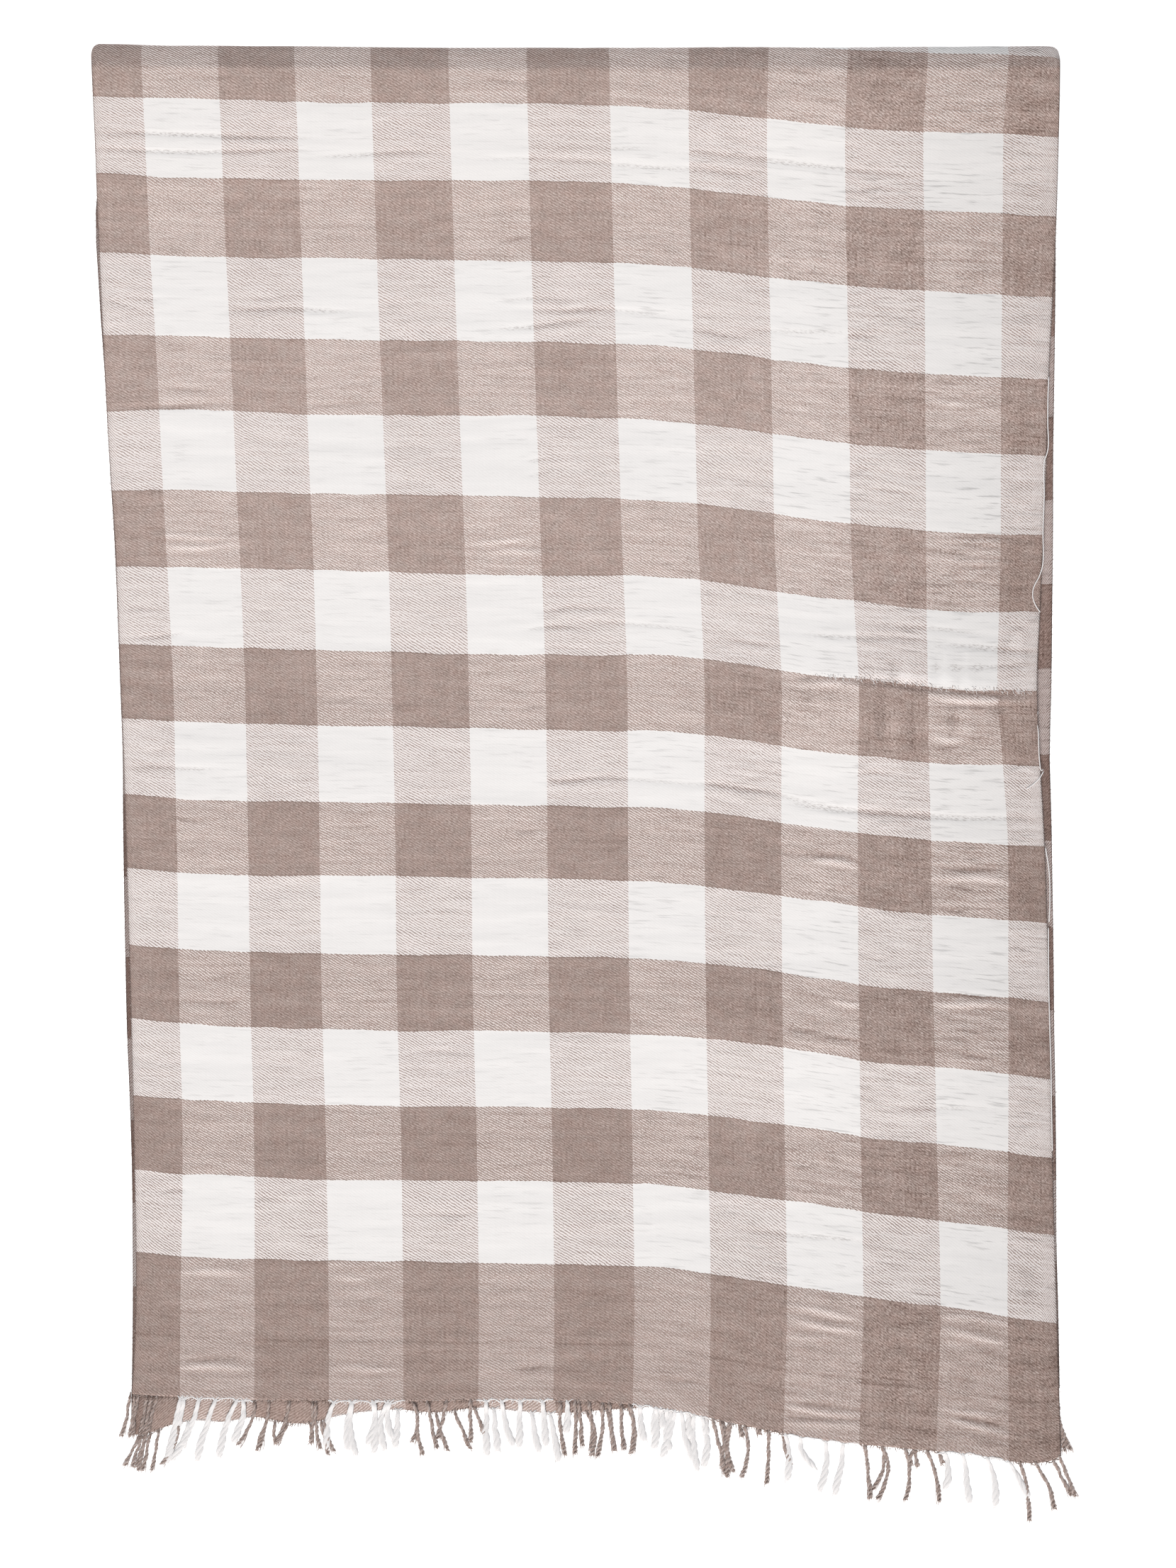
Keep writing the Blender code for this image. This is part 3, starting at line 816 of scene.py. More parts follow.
# %% Clouds of noise: patches to a metre across, and along, how fine, and which layer
CLOUDS = {
    "straying thread": (900, 900, 1, 3), "drifting band": (26, 9, 2, 4),
    "bent line": (20, 28, 2, 1), "shaken line": (420, 300, 1, 2),
    "patchy warp": (30, 300, 3, 5), "broken line": (850, 950, 1, 6),
    "weft streak": (9, 520, 3, 11), "weft band": (5, 95, 2, 12), "warp streak": (700, 12, 2, 13),
    "blotch": (55, 110, 3, 14), "nap": (1600, 1600, 3, 15), "speck": (540, 1080, 2, 16),
    "dye": (110, 130, 2, 17),
    "crease dot": (330, 900, 2, 21), "faint line": (48, 560, 3, 22), "creased place": (16, 34, 2, 23),
}


def cloud(tree, kind, across_socket, along_socket):
    """Add one kind of noise over the cloth, about -1 to 1."""
    across_scale, along_scale, detail, layer = CLOUDS[kind]
    join = tree.nodes.new("ShaderNodeCombineXYZ")
    feed(tree, join.inputs["X"], times(tree, across_socket, across_scale))
    feed(tree, join.inputs["Y"], times(tree, along_socket, along_scale))
    join.inputs["Z"].default_value = layer
    node = tree.nodes.new("ShaderNodeTexNoise")
    set_inputs(node, {"Scale": 1.0, "Detail": detail})
    tree.links.new(join.outputs["Vector"], node.inputs["Vector"])
    return times_plus(tree, node.outputs["Fac"], 2.0, -1.0)


print("kinds of cloud:", len(CLOUDS))

# %% The check as a group
def build_check():
    """Say at each point whether warp and weft are ivory, and how far hem and selvedge are."""
    sizes = {
        "Across": 0.0, "Along": 0.0, "Cloth Width": 0.7, "Cloth Length": 2.0, "Selvedge Stripe": 0.04,
        "Stripe": 0.05, "Border": 0.1, "Band": 0.05, "Edge Wander": 0.0003, "Band Wander": 0.001,
    }
    labels = ("Warp Ivory", "Weft Ivory", "From Hem", "From Selvedge", "Band Edge")
    tree, given, result = open_group("check_plan", sizes, labels)
    fine = times(tree, cloud(tree, "straying thread", given["Across"], given["Along"]), given["Edge Wander"])
    slow = cloud(tree, "drifting band", given["Across"], given["Along"])
    slow = times_plus(tree, slow, given["Band Wander"], fine)
    for place_name, full, edge, repeat, wander, is_ivory, distance in (
        ("Across", "Cloth Width", "Selvedge Stripe", "Stripe", fine, "Warp Ivory", "From Selvedge"),
        ("Along", "Cloth Length", "Border", "Band", slow, "Weft Ivory", "From Hem"),
    ):
        nearest = calc(tree, "MINIMUM", given[place_name], less(tree, given[full], given[place_name]))
        past_edge = less(tree, plus(tree, nearest, wander), given[edge])
        count_in = calc(tree, "DIVIDE", past_edge, given[repeat])
        half_turn = calc(tree, "FRACT", times(tree, count_in, 0.5))
        ivory = calc(tree, "LESS_THAN", half_turn, 0.5)
        feed(tree, result[is_ivory], times(tree, ivory, calc(tree, "GREATER_THAN", count_in, 0.0)))
        feed(tree, result[distance], nearest)
    to_band_edge = times(tree, calc(tree, "PINGPONG", count_in, 0.5), given["Band"])
    feed(tree, result["Band Edge"], ease(tree, to_band_edge, 0.0003, 0.0014, 1.0, 0.0))
    return tree


check_plan = build_check()
print("group:", check_plan.name)

# %% [markdown]
# ## The twill
# In this twill each weft passes over two warps and under one, one step along at every pick, so the
# warp shows as fine slanting lines that cover about a third of the face. Where warp and weft are of
# one colour the lines are only a ripple of light; where they differ they are drawn in colour. A
# wave bent by noise gives lines that wander as hand-woven ones do. They steepen near a selvedge,
# where the weft pulls in, and a crease lets more or less of the warp through. The lines are 2 mm
# apart, too fine to model, so they are drawn by the finish and only touched up with bump.

# %% The twill as a group
LINE_BREAKS = 0.42
LINE_BEND = 1.5


def build_twill():
    """Draw the slanting lines where the warp shows, and the wave from line to line."""
    sizes = {
        "Across": 0.0, "Along": 0.0, "Cloth Width": 0.7, "Pitch": 0.0019, "Slope": 0.56,
        "Warp Share": 0.33, "Softness": 0.16, "Wander": 0.3, "Patchiness": 0.16, "Opening": 0.0,
    }
    tree, given, result = open_group("twill_lines", sizes, ("Warp Shows", "Wave"))
    across_in, along_in = given["Across"], given["Along"]
    slanted = times_plus(tree, across_in, given["Slope"], along_in)
    steps = calc(tree, "DIVIDE", slanted, given["Pitch"])
    from_right = less(tree, given["Cloth Width"], across_in)
    pulled_left = ease(tree, across_in, 0.0, 0.006, -1.3, 0.0)
    pulled_right = ease(tree, from_right, 0.0, 0.012, 3.4, 0.0)
    bent = times(tree, cloud(tree, "bent line", across_in, along_in), LINE_BEND)
    shaken = times(tree, cloud(tree, "shaken line", across_in, along_in), given["Wander"])
    strayed = plus(tree, shaken, plus(tree, pulled_left, pulled_right))
    moved = plus(tree, plus(tree, steps, bent), strayed)
    wave = times(tree, calc(tree, "PINGPONG", moved, 0.5), 2.0)
    patchy = cloud(tree, "patchy warp", across_in, along_in)
    share = times_plus(tree, patchy, given["Patchiness"], given["Warp Share"])
    share = times_plus(tree, cloud(tree, "broken line", across_in, along_in), LINE_BREAKS, share)
    share = plus(tree, share, given["Opening"])
    low = less(tree, share, given["Softness"])
    high = plus(tree, share, given["Softness"])
    feed(tree, result["Warp Shows"], ease(tree, wave, low, high, 1.0, 0.0))
    feed(tree, result["Wave"], wave)
    return tree


twill_lines = build_twill()
print("group:", twill_lines.name)

# %% The unevenness of the yarn as a group
def build_yarn_tone():
    """A brightness near 1 that changes in streaks along the weft and, more faintly, the warp."""
    sizes = {
        "Across": 0.0, "Along": 0.0, "Weft Streaks": 0.1, "Warp Streaks": 0.05, "Blotches": 0.05,
        "Speckle": 0.1, "Slope": 0.0,
    }
    tree, given, result = open_group("yarn_tone", sizes, ("Tone", "Nap", "Dye Lot"))
    across_in, along_in = given["Across"], given["Along"]
    weft, band, warp, blotch, nap, dye = [
        cloud(tree, kind, across_in, along_in)
        for kind in ("weft streak", "weft band", "warp streak", "blotch", "nap", "dye")
    ]
    slanted = times_plus(tree, across_in, given["Slope"], along_in)
    speck = cloud(tree, "speck", across_in, slanted)
    tone = times_plus(tree, plus(tree, weft, band), given["Weft Streaks"], 1.0)
    for unevenness, amount in ((warp, "Warp Streaks"), (blotch, "Blotches"), (speck, "Speckle")):
        tone = times_plus(tree, unevenness, given[amount], tone)
    feed(tree, result["Tone"], tone)
    feed(tree, result["Nap"], nap)
    feed(tree, result["Dye Lot"], ease(tree, dye, -0.5, 0.5))
    return tree


yarn_tone = build_yarn_tone()
print("group:", yarn_tone.name)

# %% [markdown]
# ## How painted shade and highlight mark a crease
# Light can't reach the bottom of a narrow dip, so painted shade darkens it in a row of small dots
# where the twill opens. A pleat does the opposite: a painted highlight lifts its crest. The relief
# of the creases was stored on the mesh, so a group turns it into this shade and highlight. A third
# output paints faint shade along level lines between creases, too shallow to be worth modelling.

# %% Painted shade and highlight of a crease as a group
def build_crease_look():
    """Turn crease relief (mm) into painted shade, dotted, in dips and a painted highlight on pleats."""
    sizes = {"Across": 0.0, "Along": 0.0, "Relief": 0.0, "Wave": 0.5, "Faintest": 0.06, "Deepest": 0.32}
    tree, given, result = open_group("crease_look", sizes, ("Shade", "Lift", "Faint Line Shade"))
    kinds = ("crease dot", "faint line", "creased place")
    dots, lines, places = [cloud(tree, kind, given["Across"], given["Along"]) for kind in kinds]
    sunk = times(tree, given["Relief"], -1.0)
    dip = ease(tree, sunk, given["Faintest"], given["Deepest"])
    dip = times(tree, dip, ease(tree, dots, -0.2, 0.25, 0.1, 1.0))
    dip = times(tree, dip, times_plus(tree, given["Wave"], -0.7, 1.0))
    feed(tree, result["Shade"], times(tree, dip, 0.8))
    feed(tree, result["Lift"], ease(tree, given["Relief"], 0.05, given["Deepest"]))
    # faint painted shade along level lines, in creased places
    faint = times(tree, ease(tree, lines, 0.04, 0.42), ease(tree, places, -0.3, 0.3, 0.2, 1.0))
    feed(tree, result["Faint Line Shade"], faint)
    return tree


crease_look = build_crease_look()
print("group:", crease_look.name)

# %% [markdown]
# ## The dyed yarns
# The ivory is undyed goat hair and the taupe a brown-grey that is a little darker towards the
# hems. Colours are set as the share of light that the yarn throws back, so each is the tone we
# want to see divided by the light that falls on it. Goat hair is matt with a faint bloom, which a
# rough surface and a little sheen give.

# %% Yarn colours
def seen_tone(red, green, blue):
    """Colour of a yarn that looks like this tone under the light on a flat surface."""
    def linear(value):
        part = value / 255
        return part / 12.92 if part <= 0.04045 else ((part + 0.055) / 1.055) ** 2.4
    return tuple(linear(v) / FLAT_LIGHT for v in (red, green, blue)) + (1.0,)


IVORY = seen_tone(242, 238, 236)
IVORY_OVER_TAUPE = seen_tone(242, 233, 230)
IVORY_IN_TAUPE = seen_tone(246, 234, 229)
IVORY_AT_HEM = seen_tone(222, 208, 203)
TAUPE_AT_FOLD = seen_tone(180, 160, 152)
TAUPE_MIDDLE = seen_tone(168, 148, 140)
TAUPE_AT_HEM = seen_tone(162, 142, 134)
VEILED_TAUPE = (1.10, 1.14, 1.17, 1.0)
ROSY_DYE = (1.025, 0.995, 0.99, 1.0)
GREY_DYE = (0.98, 1.0, 1.005, 1.0)
# painted shade: in a crease, along a selvedge's edge, and on the lower half's border and slivers
CREASE_SHADE = (0.50, 0.47, 0.46, 1.0)
EDGE_SHADE = (0.30, 0.26, 0.25, 1.0)
LOWER_BORDER_SHADE = (0.90, 0.885, 0.88, 1.0)
LOWER_SLIVER_SHADE = (0.72, 0.66, 0.645, 1.0)
print("ivory:", [round(v, 3) for v in IVORY[:3]], "taupe:", [round(v, 3) for v in TAUPE_MIDDLE[:3]])

# %% Helpers that mix colours and place groups
def place_group(tree, group, settings):
    """Put a group into a material with its own values."""
    node = tree.nodes.new("ShaderNodeGroup")
    node.node_tree = group
    for label, value in settings.items():
        feed(tree, node.inputs[label], value)
    return node


def blend_colour(tree, share, first_colour, second_colour, mode="MIX"):
    """Mix two colours and return the result."""
    node = tree.nodes.new("ShaderNodeMix")
    node.data_type = "RGBA"
    node.blend_type = mode
    feed(tree, node.inputs["Factor"], share)
    feed(tree, node.inputs[6], first_colour)
    feed(tree, node.inputs[7], second_colour)
    return node.outputs[2]


def read_attribute(tree, name):
    """Read a value stored on the mesh."""
    node = tree.nodes.new("ShaderNodeAttribute")
    node.attribute_name = name
    return node


WARM_GAINS = (0.0, 0.16, 0.24)


def as_colour(tree, value, warmth=0.0):
    """Turn a brightness near 1 into a colour. With warmth, dark goes browner, light cooler."""
    node = tree.nodes.new("ShaderNodeCombineColor")
    for channel, gain in zip(node.inputs, WARM_GAINS):
        feed(tree, channel, calc(tree, "POWER", value, times_plus(tree, warmth, gain, 1.0)))
    return node.outputs["Color"]


print("colour helpers ready")

# %% A matt yarn material, and its nap
def open_material(name, roughness, sheen):
    """Start a matt yarn material and return (material, tree, its Principled shader)."""
    material = bpy.data.materials.new(name)
    material.use_nodes = True
    shader = material.node_tree.nodes["Principled BSDF"]
    set_inputs(shader, {
        "Roughness": roughness, "Specular IOR Level": 0.15, "Sheen Weight": sheen, "Sheen Roughness": 0.6,
    })
    return material, material.node_tree, shader


def add_bump(tree, shader, height, strength):
    """Let a height ruffle the light on a surface, a fifth of a millimetre deep."""
    bump = tree.nodes.new("ShaderNodeBump")
    set_inputs(bump, {"Strength": strength, "Distance": 0.2 * MM})
    feed(tree, bump.inputs["Height"], height)
    feed(tree, shader.inputs["Normal"], bump.outputs["Normal"])


print("material helpers ready")

# %% [markdown]
# ## The cloth's finish, thread by thread
# The finish asks the same questions at each point that a weaver would. Which yarns cross here? Does
# the warp or the weft lie on top? How even is the yarn, and is the cloth packed at a band edge? Then
# it paints shade in creases, at curling selvedges, beside the upper half and towards the fold, and
# a highlight on pleats. Each question is a short function, and what they find is kept together in
# one place, so that the next can use it. The settings stand in a table first.

# %% Settings of the cloth's finish
TWILL_SLOPE, TWILL_PITCH, TWILL_WANDER = 0.57, 0.00199, 0.3
WARP_SHARE, SHARE_ON_BACK, SHARE_IN_IVORY, SHARE_LOST_IN_MIDDLE = 0.31, 0.05, 0.03, -0.035
RELIEF_OPENS, ROUNDING_SHARPENS = 0.45, -0.1
ROUGH_IN_PLAIN_TAUPE = 0.3
STREAKS = {
    "Weft Streaks": (0.12, 0.03),
    "Warp Streaks": (0.13, 0.015),
    "Blotches": (0.17, 0.02),
    "Speckle": (0.7, 0.04),
}
# how much the painted highlight brightens the crest of a pleat
PLEAT_HIGHLIGHT_GAIN = 0.1
# two places at the right selvedge with painted shade: distance from the hem and how deep
SHADED_PLACES_AT_RIGHT = ((0.652, 0.12), (0.42, 0.09))
print("dusky places at the right edge:", len(SHADED_PLACES_AT_RIGHT))

# %% What can be read at each point of the cloth
def read_cloth(tree):
    """Gather the threads' coordinates, the stored relief and the check at a point."""
    parts = tree.nodes.new("ShaderNodeSeparateXYZ")
    tree.links.new(read_attribute(tree, "cloth_place").outputs["Vector"], parts.inputs["Vector"])
    here = SimpleNamespace()
    here.across, along, here.reverse = parts.outputs
    here.relief = read_attribute(tree, "slack").outputs["Fac"]
    here.rounding = read_attribute(tree, "rounding").outputs["Fac"]
    here.spot = {"Across": here.across, "Along": along}
    check = place_group(tree, check_plan, {
        **here.spot, "Cloth Width": CLOTH_WIDTH, "Cloth Length": CLOTH_LENGTH,
        "Selvedge Stripe": SELVEDGE_STRIPE, "Stripe": STRIPE, "Border": BORDER, "Band": BAND,
        "Edge Wander": 0.0008, "Band Wander": 0.002,
    })
    here.weft_ivory, here.from_hem = check.outputs["Weft Ivory"], check.outputs["From Hem"]
    here.from_selvedge, here.band_edge = check.outputs["From Selvedge"], check.outputs["Band Edge"]
    here.unlike = less(tree, check.outputs["Warp Ivory"], here.weft_ivory)
    here.ivory_warp_only = calc(tree, "MAXIMUM", here.unlike, 0.0)
    here.ivory_weft_only = calc(tree, "MAXIMUM", times(tree, here.unlike, -1.0), 0.0)
    return here


print("reader ready for:", cloth_mesh.name)

# %% How much of the warp shows
def draw_twill(tree, here):
    """Draw the twill lines and note the share of ivory and the depth of the wave."""
    after_border = ease(tree, here.from_hem, 0.1, 0.25)
    open_middle = times(tree, after_border, ease(tree, here.from_hem, 0.62, 0.8, 1.0, 0.0))
    in_ivory = times_plus(tree, open_middle, SHARE_LOST_IN_MIDDLE, SHARE_IN_IVORY)
    share = times_plus(tree, here.weft_ivory, in_ivory, WARP_SHARE)
    share = times_plus(tree, here.reverse, SHARE_ON_BACK, share)
    tight_border = ease(tree, here.from_hem, 0.03, 0.11, -0.01, 0.0)
    tight_end = plus(tree, tight_border, ease(tree, here.from_hem, 0.26, 0.38, -0.022, 0.0))
    tight_end = times(tree, tight_end, ease(tree, here.across, 0.1, 0.5, 0.6, 1.5))
    share = times_plus(tree, here.ivory_warp_only, tight_end, share)
    softness = ease(tree, here.from_hem, 0.08, 0.2, 0.38, 0.19)
    twill = place_group(tree, twill_lines, {
        **here.spot, "Cloth Width": CLOTH_WIDTH, "Pitch": TWILL_PITCH, "Slope": TWILL_SLOPE,
        "Warp Share": share, "Wander": TWILL_WANDER,
        "Softness": times_plus(tree, here.rounding, ROUNDING_SHARPENS, softness),
        "Opening": times(tree, times(tree, here.relief, here.unlike), RELIEF_OPENS),
        "Patchiness": ease(tree, here.across, 0.34, 0.62, 0.26, 0.4),
    })
    here.wave = twill.outputs["Wave"]
    here.ivory = times_plus(tree, twill.outputs["Warp Shows"], here.unlike, here.weft_ivory)
    here.darkness = less(tree, 1.0, here.ivory)


def spin_yarn(tree, here):
    """Note how uneven the yarn is, which is most in plain taupe and towards the right."""
    one_yarn = less(tree, 1.0, calc(tree, "ABSOLUTE", here.unlike))
    plain_taupe = times(tree, here.darkness, one_yarn)
    rough = times_plus(tree, plain_taupe, ROUGH_IN_PLAIN_TAUPE, here.darkness)
    rough = times(tree, rough, ease(tree, here.across, 0.38, 0.64, 0.75, 1.3))
    amounts = {label: times_plus(tree, rough, gain, least) for label, (gain, least) in STREAKS.items()}
    here.yarn = place_group(tree, yarn_tone, {**here.spot, **amounts, "Slope": TWILL_SLOPE}).outputs
    settings = {**here.spot, "Relief": here.relief, "Wave": here.wave}
    here.crease = place_group(tree, crease_look, settings).outputs


print("settings for uneven yarn:", len(STREAKS))

# %% The colour of the yarn that lies on top
def dye_yarns(tree, here):
    """Mix the colours of taupe and ivory for this place, and choose between them."""
    taupe = blend_colour(tree, ease(tree, here.from_hem, 0.0, 0.45), TAUPE_AT_HEM, TAUPE_MIDDLE)
    taupe = blend_colour(tree, ease(tree, here.from_hem, 0.42, 0.75), taupe, TAUPE_AT_FOLD)
    dye = blend_colour(tree, here.yarn["Dye Lot"], GREY_DYE, ROSY_DYE)
    taupe = blend_colour(tree, 1.0, taupe, dye, "MULTIPLY")
    taupe = blend_colour(tree, here.ivory_weft_only, taupe, VEILED_TAUPE, "MULTIPLY")
    ivory = blend_colour(tree, here.ivory_weft_only, IVORY, IVORY_OVER_TAUPE)
    ivory = blend_colour(tree, here.ivory_warp_only, ivory, IVORY_IN_TAUPE)
    dulled = times(tree, here.ivory_warp_only, ease(tree, here.from_hem, 0.04, 0.13, 0.8, 0.0))
    ivory = blend_colour(tree, dulled, ivory, IVORY_AT_HEM)
    return blend_colour(tree, here.ivory, taupe, ivory)


print("taupe from fold to hem:", [round(tone[0], 3) for tone in (TAUPE_AT_FOLD, TAUPE_MIDDLE, TAUPE_AT_HEM)])

# %% Light and dark over the cloth
def tone_cloth(tree, here):
    """Multiply yarn tone, twill grooves, band edges and painted shade and highlight into one brightness."""
    # painted light: on the roll of the fold the twill lines get more contrast, as grazing light shows them
    roll_graze_contrast = times_plus(tree, here.ivory_warp_only, -1.1, 0.55)
    depth = times_plus(tree, here.rounding, roll_graze_contrast, times(tree, here.darkness, 0.5))
    groove = times_plus(tree, less(tree, here.wave, 0.5), depth, 1.0)
    # painted highlight on pleats, and painted shade along faint level lines, deeper towards the right
    lift = times_plus(tree, here.crease["Lift"], PLEAT_HIGHLIGHT_GAIN, 1.0)
    faint_shade_depth = ease(tree, here.across, 0.3, 0.62, -0.13, -0.32)
    faint_line_shade = times_plus(tree, here.crease["Faint Line Shade"], faint_shade_depth, 1.0)
    packed = times(tree, here.band_edge, times_plus(tree, here.darkness, -0.2, 0.03))
    # painted shade within a few millimetres of each selvedge, where the cloth curls away from the light
    selvedge_curl_shade = ease(tree, here.from_selvedge, 0.0, 0.0045, -0.13, 0.0)
    # painted shadow on the lower half where it peeks out at the left selvedge, beside the upper half's edge
    shadow_beside_upper_edge = times(tree, here.reverse, ease(tree, here.across, 0.004, 0.012, -0.26, 0.0))
    # painted shade: the cloth is made darker towards the right selvedge, where less light falls
    shade_to_right = ease(tree, here.across, 0.5, 0.7, 1.0, 0.87)
    shares = [groove, lift, faint_line_shade]
    shares += [plus(tree, change, 1.0) for change in (packed, selvedge_curl_shade, shadow_beside_upper_edge)]
    shares.append(shade_to_right)
    # painted shade at the right selvedge, where the cloth curls away from the light
    for middle, dusk in SHADED_PLACES_AT_RIGHT:
        away = calc(tree, "ABSOLUTE", less(tree, here.from_hem, middle))
        at_right = ease(tree, here.across, 0.65, 0.68, 0.0, dusk)
        shares.append(less(tree, 1.0, times(tree, ease(tree, away, 0.02, 0.042, 1.0, 0.0), at_right)))
    # painted shade: the cloth turns a little darker over the last stretch before the fold
    shares.append(ease(tree, here.from_hem, 0.8, 0.93, 1.0, 0.93))
    tone = here.yarn["Tone"]
    for share in shares:
        tone = times(tree, tone, share)
    return tone


print("a full crease turns the yarn down to:", CREASE_SHADE[:3])

# %% The whole finish
def make_cloth_finish():
    """Check twill: colours by thread, twill lines, uneven yarn, creases and nap."""
    material, tree, shader = open_material("check_twill", 0.9, 0.12)
    here = read_cloth(tree)
    draw_twill(tree, here)
    spin_yarn(tree, here)
    tone = as_colour(tree, tone_cloth(tree, here), here.darkness)
    # painted shade on the inner face, which shows on the lower half: deep in its slivers, light on its border
    back_shade = blend_colour(tree, ease(tree, here.from_hem, 0.11, 0.2), LOWER_BORDER_SHADE, LOWER_SLIVER_SHADE)
    # painted shade: a dark line along the very edge of each selvedge
    painted_edge_shade = ease(tree, here.from_selvedge, 0.0002, 0.0011, 0.7, 0.0)
    coloured = dye_yarns(tree, here)
    shades = [(1.0, tone), (here.reverse, back_shade)]
    shades += [(here.crease["Shade"], CREASE_SHADE), (painted_edge_shade, EDGE_SHADE)]
    for share, shade in shades:
        coloured = blend_colour(tree, share, coloured, shade, "MULTIPLY")
    feed(tree, shader.inputs["Base Color"], coloured)
    ridge = times(tree, here.wave, times_plus(tree, here.darkness, 0.75, 0.25))
    add_bump(tree, shader, times_plus(tree, here.yarn["Nap"], 0.2, ridge), 0.5)
    return material


cloth_mesh.materials.append(make_cloth_finish())
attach(cloth, "root")
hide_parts("front_panel", "top_fold", "back_panel")
print("finish on the cloth:", cloth_mesh.materials[0].name)

# %% [markdown]
# ## The fringe
# When the cloth leaves the loom its warp ends are knotted in small bunches so that the last weft
# can't slip off. The taupe bunches are spun hard and end in a fray; the ivory ones have opened into
# soft, fat wisps. Each is a few plies wound round one another, so each is built as tubes that wind
# round a bent centre line. The bends and leans are given one by one, because combed fringe never
# hangs evenly, and only the small shivers in them come from seeded chance. Blender's hair curves
# would be quicker to lay, but tubes are a mesh, which every other program can read.

# %% Taupe strands of the upper hem: place across, sideways halfway, sideways at the tip, length (mm)
UPPER_TAUPE = (
    (-331, -2.7, -6.7, 31), (-328.4, -0.9, -3.6, 31), (-325.6, -2.2, -4.6, 30), (-319.1, -2.2, -5.2, 29),
    (-315.4, -3, -6.4, 29), (-311.6, -3.6, -7.8, 27), (-241.8, -1.5, -11.9, 33),
    (-230.4, -2.3, -7.2, 35), (-215.5, -3.1, -9.3, 30), (-199, 0.1, -1.5, 30), (-196.4, -0.1, 3.1, 35),
    (-127.8, 5.3, 1, 30), (-116, 3.5, 7.7, 35), (-101, -3.4, -7.2, 28), (-84.5, 0.5, 0.5, 31),
    (-19.1, 0.5, 3.6, 40), (-8.2, 0.5, 0, 39), (-5.7, 1.5, 3.1, 33), (1, 3.1, 2.6, 36), (11.3, 0.3, -3.1, 40),
    (16.5, 1.7, 4.1, 34), (25.3, 0.5, 2.1, 34), (30.4, 4.1, 2.1, 35), (91.2, 5.4, 9.8, 41),
    (96.4, 5, 6.2, 42),
    (104.6, -4.1, -5.7, 34), (106.2, -3.3, 1, 36), (114.4, 3.2, -1.5, 38), (132.5, 0, -1.5, 39),
    (142.3, 2.3, 5.7, 21), (201.6, 3.4, 4.6, 40), (213.4, 6, -2.1, 39), (215, 1.1, -7.2, 32),
    (230.9, 4.2, 1, 38), (239.2, -3, -3.6, 12), (240.2, -0.5, 1, 13), (246.4, 7.7, 10.3, 38),
    (255.2, 1.9, 4.6, 9), (314.5, 6.1, 7.7, 43), (325.3, 10.2, 15.5, 34), (338.2, 7.5, 14.5, 26),
    (343.4, 6.3, 12.4, 29),
)
print("taupe strands of the upper hem:", len(UPPER_TAUPE))

# %% Ivory strands of the upper hem, in the same order
UPPER_IVORY = (
    (-294.4, -5.2, -10.8, 49), (-291.6, -5.4, -13.5, 45), (-280.9, -7.2, -20.6, 46),
    (-268.1, -9, -14.9, 46), (-252.6, -9.7, -14.4, 43), (-249, -1.5, -8.2, 32), (-182, -6.4, -5.7, 36),
    (-169.6, -4.1, -3.6, 36), (-169.1, -2.5, 2.1, 40), (-156.2, 2.4, -3.6, 32), (-154.6, 1.7, 0, 38),
    (-143.3, -6.2, -2.6, 36), (-141.2, -3.5, 2.6, 29), (-72.7, 0, 0.5, 41), (-61.9, 3.2, 8.8, 34),
    (-47.9, -0.5, -1, 35), (-32, 1.6, 2.6, 34), (-14.4, 1, -0.5, 24), (39.2, 0.6, 3.1, 27),
    (50, 1.5, -1.5, 31), (54.1, 1.2, 2.6, 16), (59.3, -1, 1.5, 31), (65, -4.2, -10.3, 35),
    (68.6, 3.5, 9.8, 38), (78.4, -0.5, 2.6, 42), (83, 4.5, 2.6, 38), (144.3, 3, 1.5, 35),
    (156.2, 1.1, 10.8, 24), (173.7, 0.6, -4.6, 38), (187.1, -2.4, -6.7, 39), (259.3, 4.1, 1, 28),
    (273.2, 3.4, 5.2, 37), (289.7, 7.2, 7.2, 37), (305.2, 9.3, 16.5, 28),
)
print("ivory strands of the upper hem:", len(UPPER_IVORY))

# %% Strands of the lower hem, where they show
LOWER_TAUPE = (
    (-323.7, -5.7, -11.9, 23), (-322.2, -4.1, -7.7, 24), (-320.1, -2.6, -5.7, 27), (-318.6, -4.6, -9, 25),
    (-316.4, -3, -6.2, 28), (-310.3, -2.5, -5.7, 30),
    (-296.4, -2.4, -12.4, 30), (-231.5, -4.4, -8.2, 23), (-226.3, -0.5, 0, 17), (-216, -4.1, -9.3, 15),
    (-202.6, 3.6, 2.1, 15), (-193.3, 2.8, 6.2, 25), (-190.7, 2.2, 7.7, 23), (-122.7, 0.3, 4.1, 32),
    (-109.8, 3.9, 9.3, 28), (-96.4, 5.7, 11.9, 28), (-82, 4.1, 7.7, 19), (-1, 7, 4.6, 32),
    (14.9, 3.3, 5.2, 30),
    (29.9, 5.5, 2.6, 33), (340.7, 3.5, 7.2, 46), (342.8, 0.9, 9.3, 45),
)
LOWER_IVORY = (
    (-288.2, -2.7, -5.2, 19), (-136.6, -1, -2.6, 28), (-67.5, 1.6, 3.1, 32), (-40.2, 2.7, 5.7, 30),
    (-26.8, 3.7, 6.7, 36),
)
print("strands that show:", sum(len(kind) for kind in (UPPER_TAUPE, UPPER_IVORY, LOWER_TAUPE, LOWER_IVORY)))

# %% Strands of the lower hem that the upper half hides
HIDDEN_PLACES = range(50, 334, 12)
HIDDEN_LEANS, HIDDEN_LENGTHS = (-5, 6), (20, 26)
STRIPE_ORDER = 13


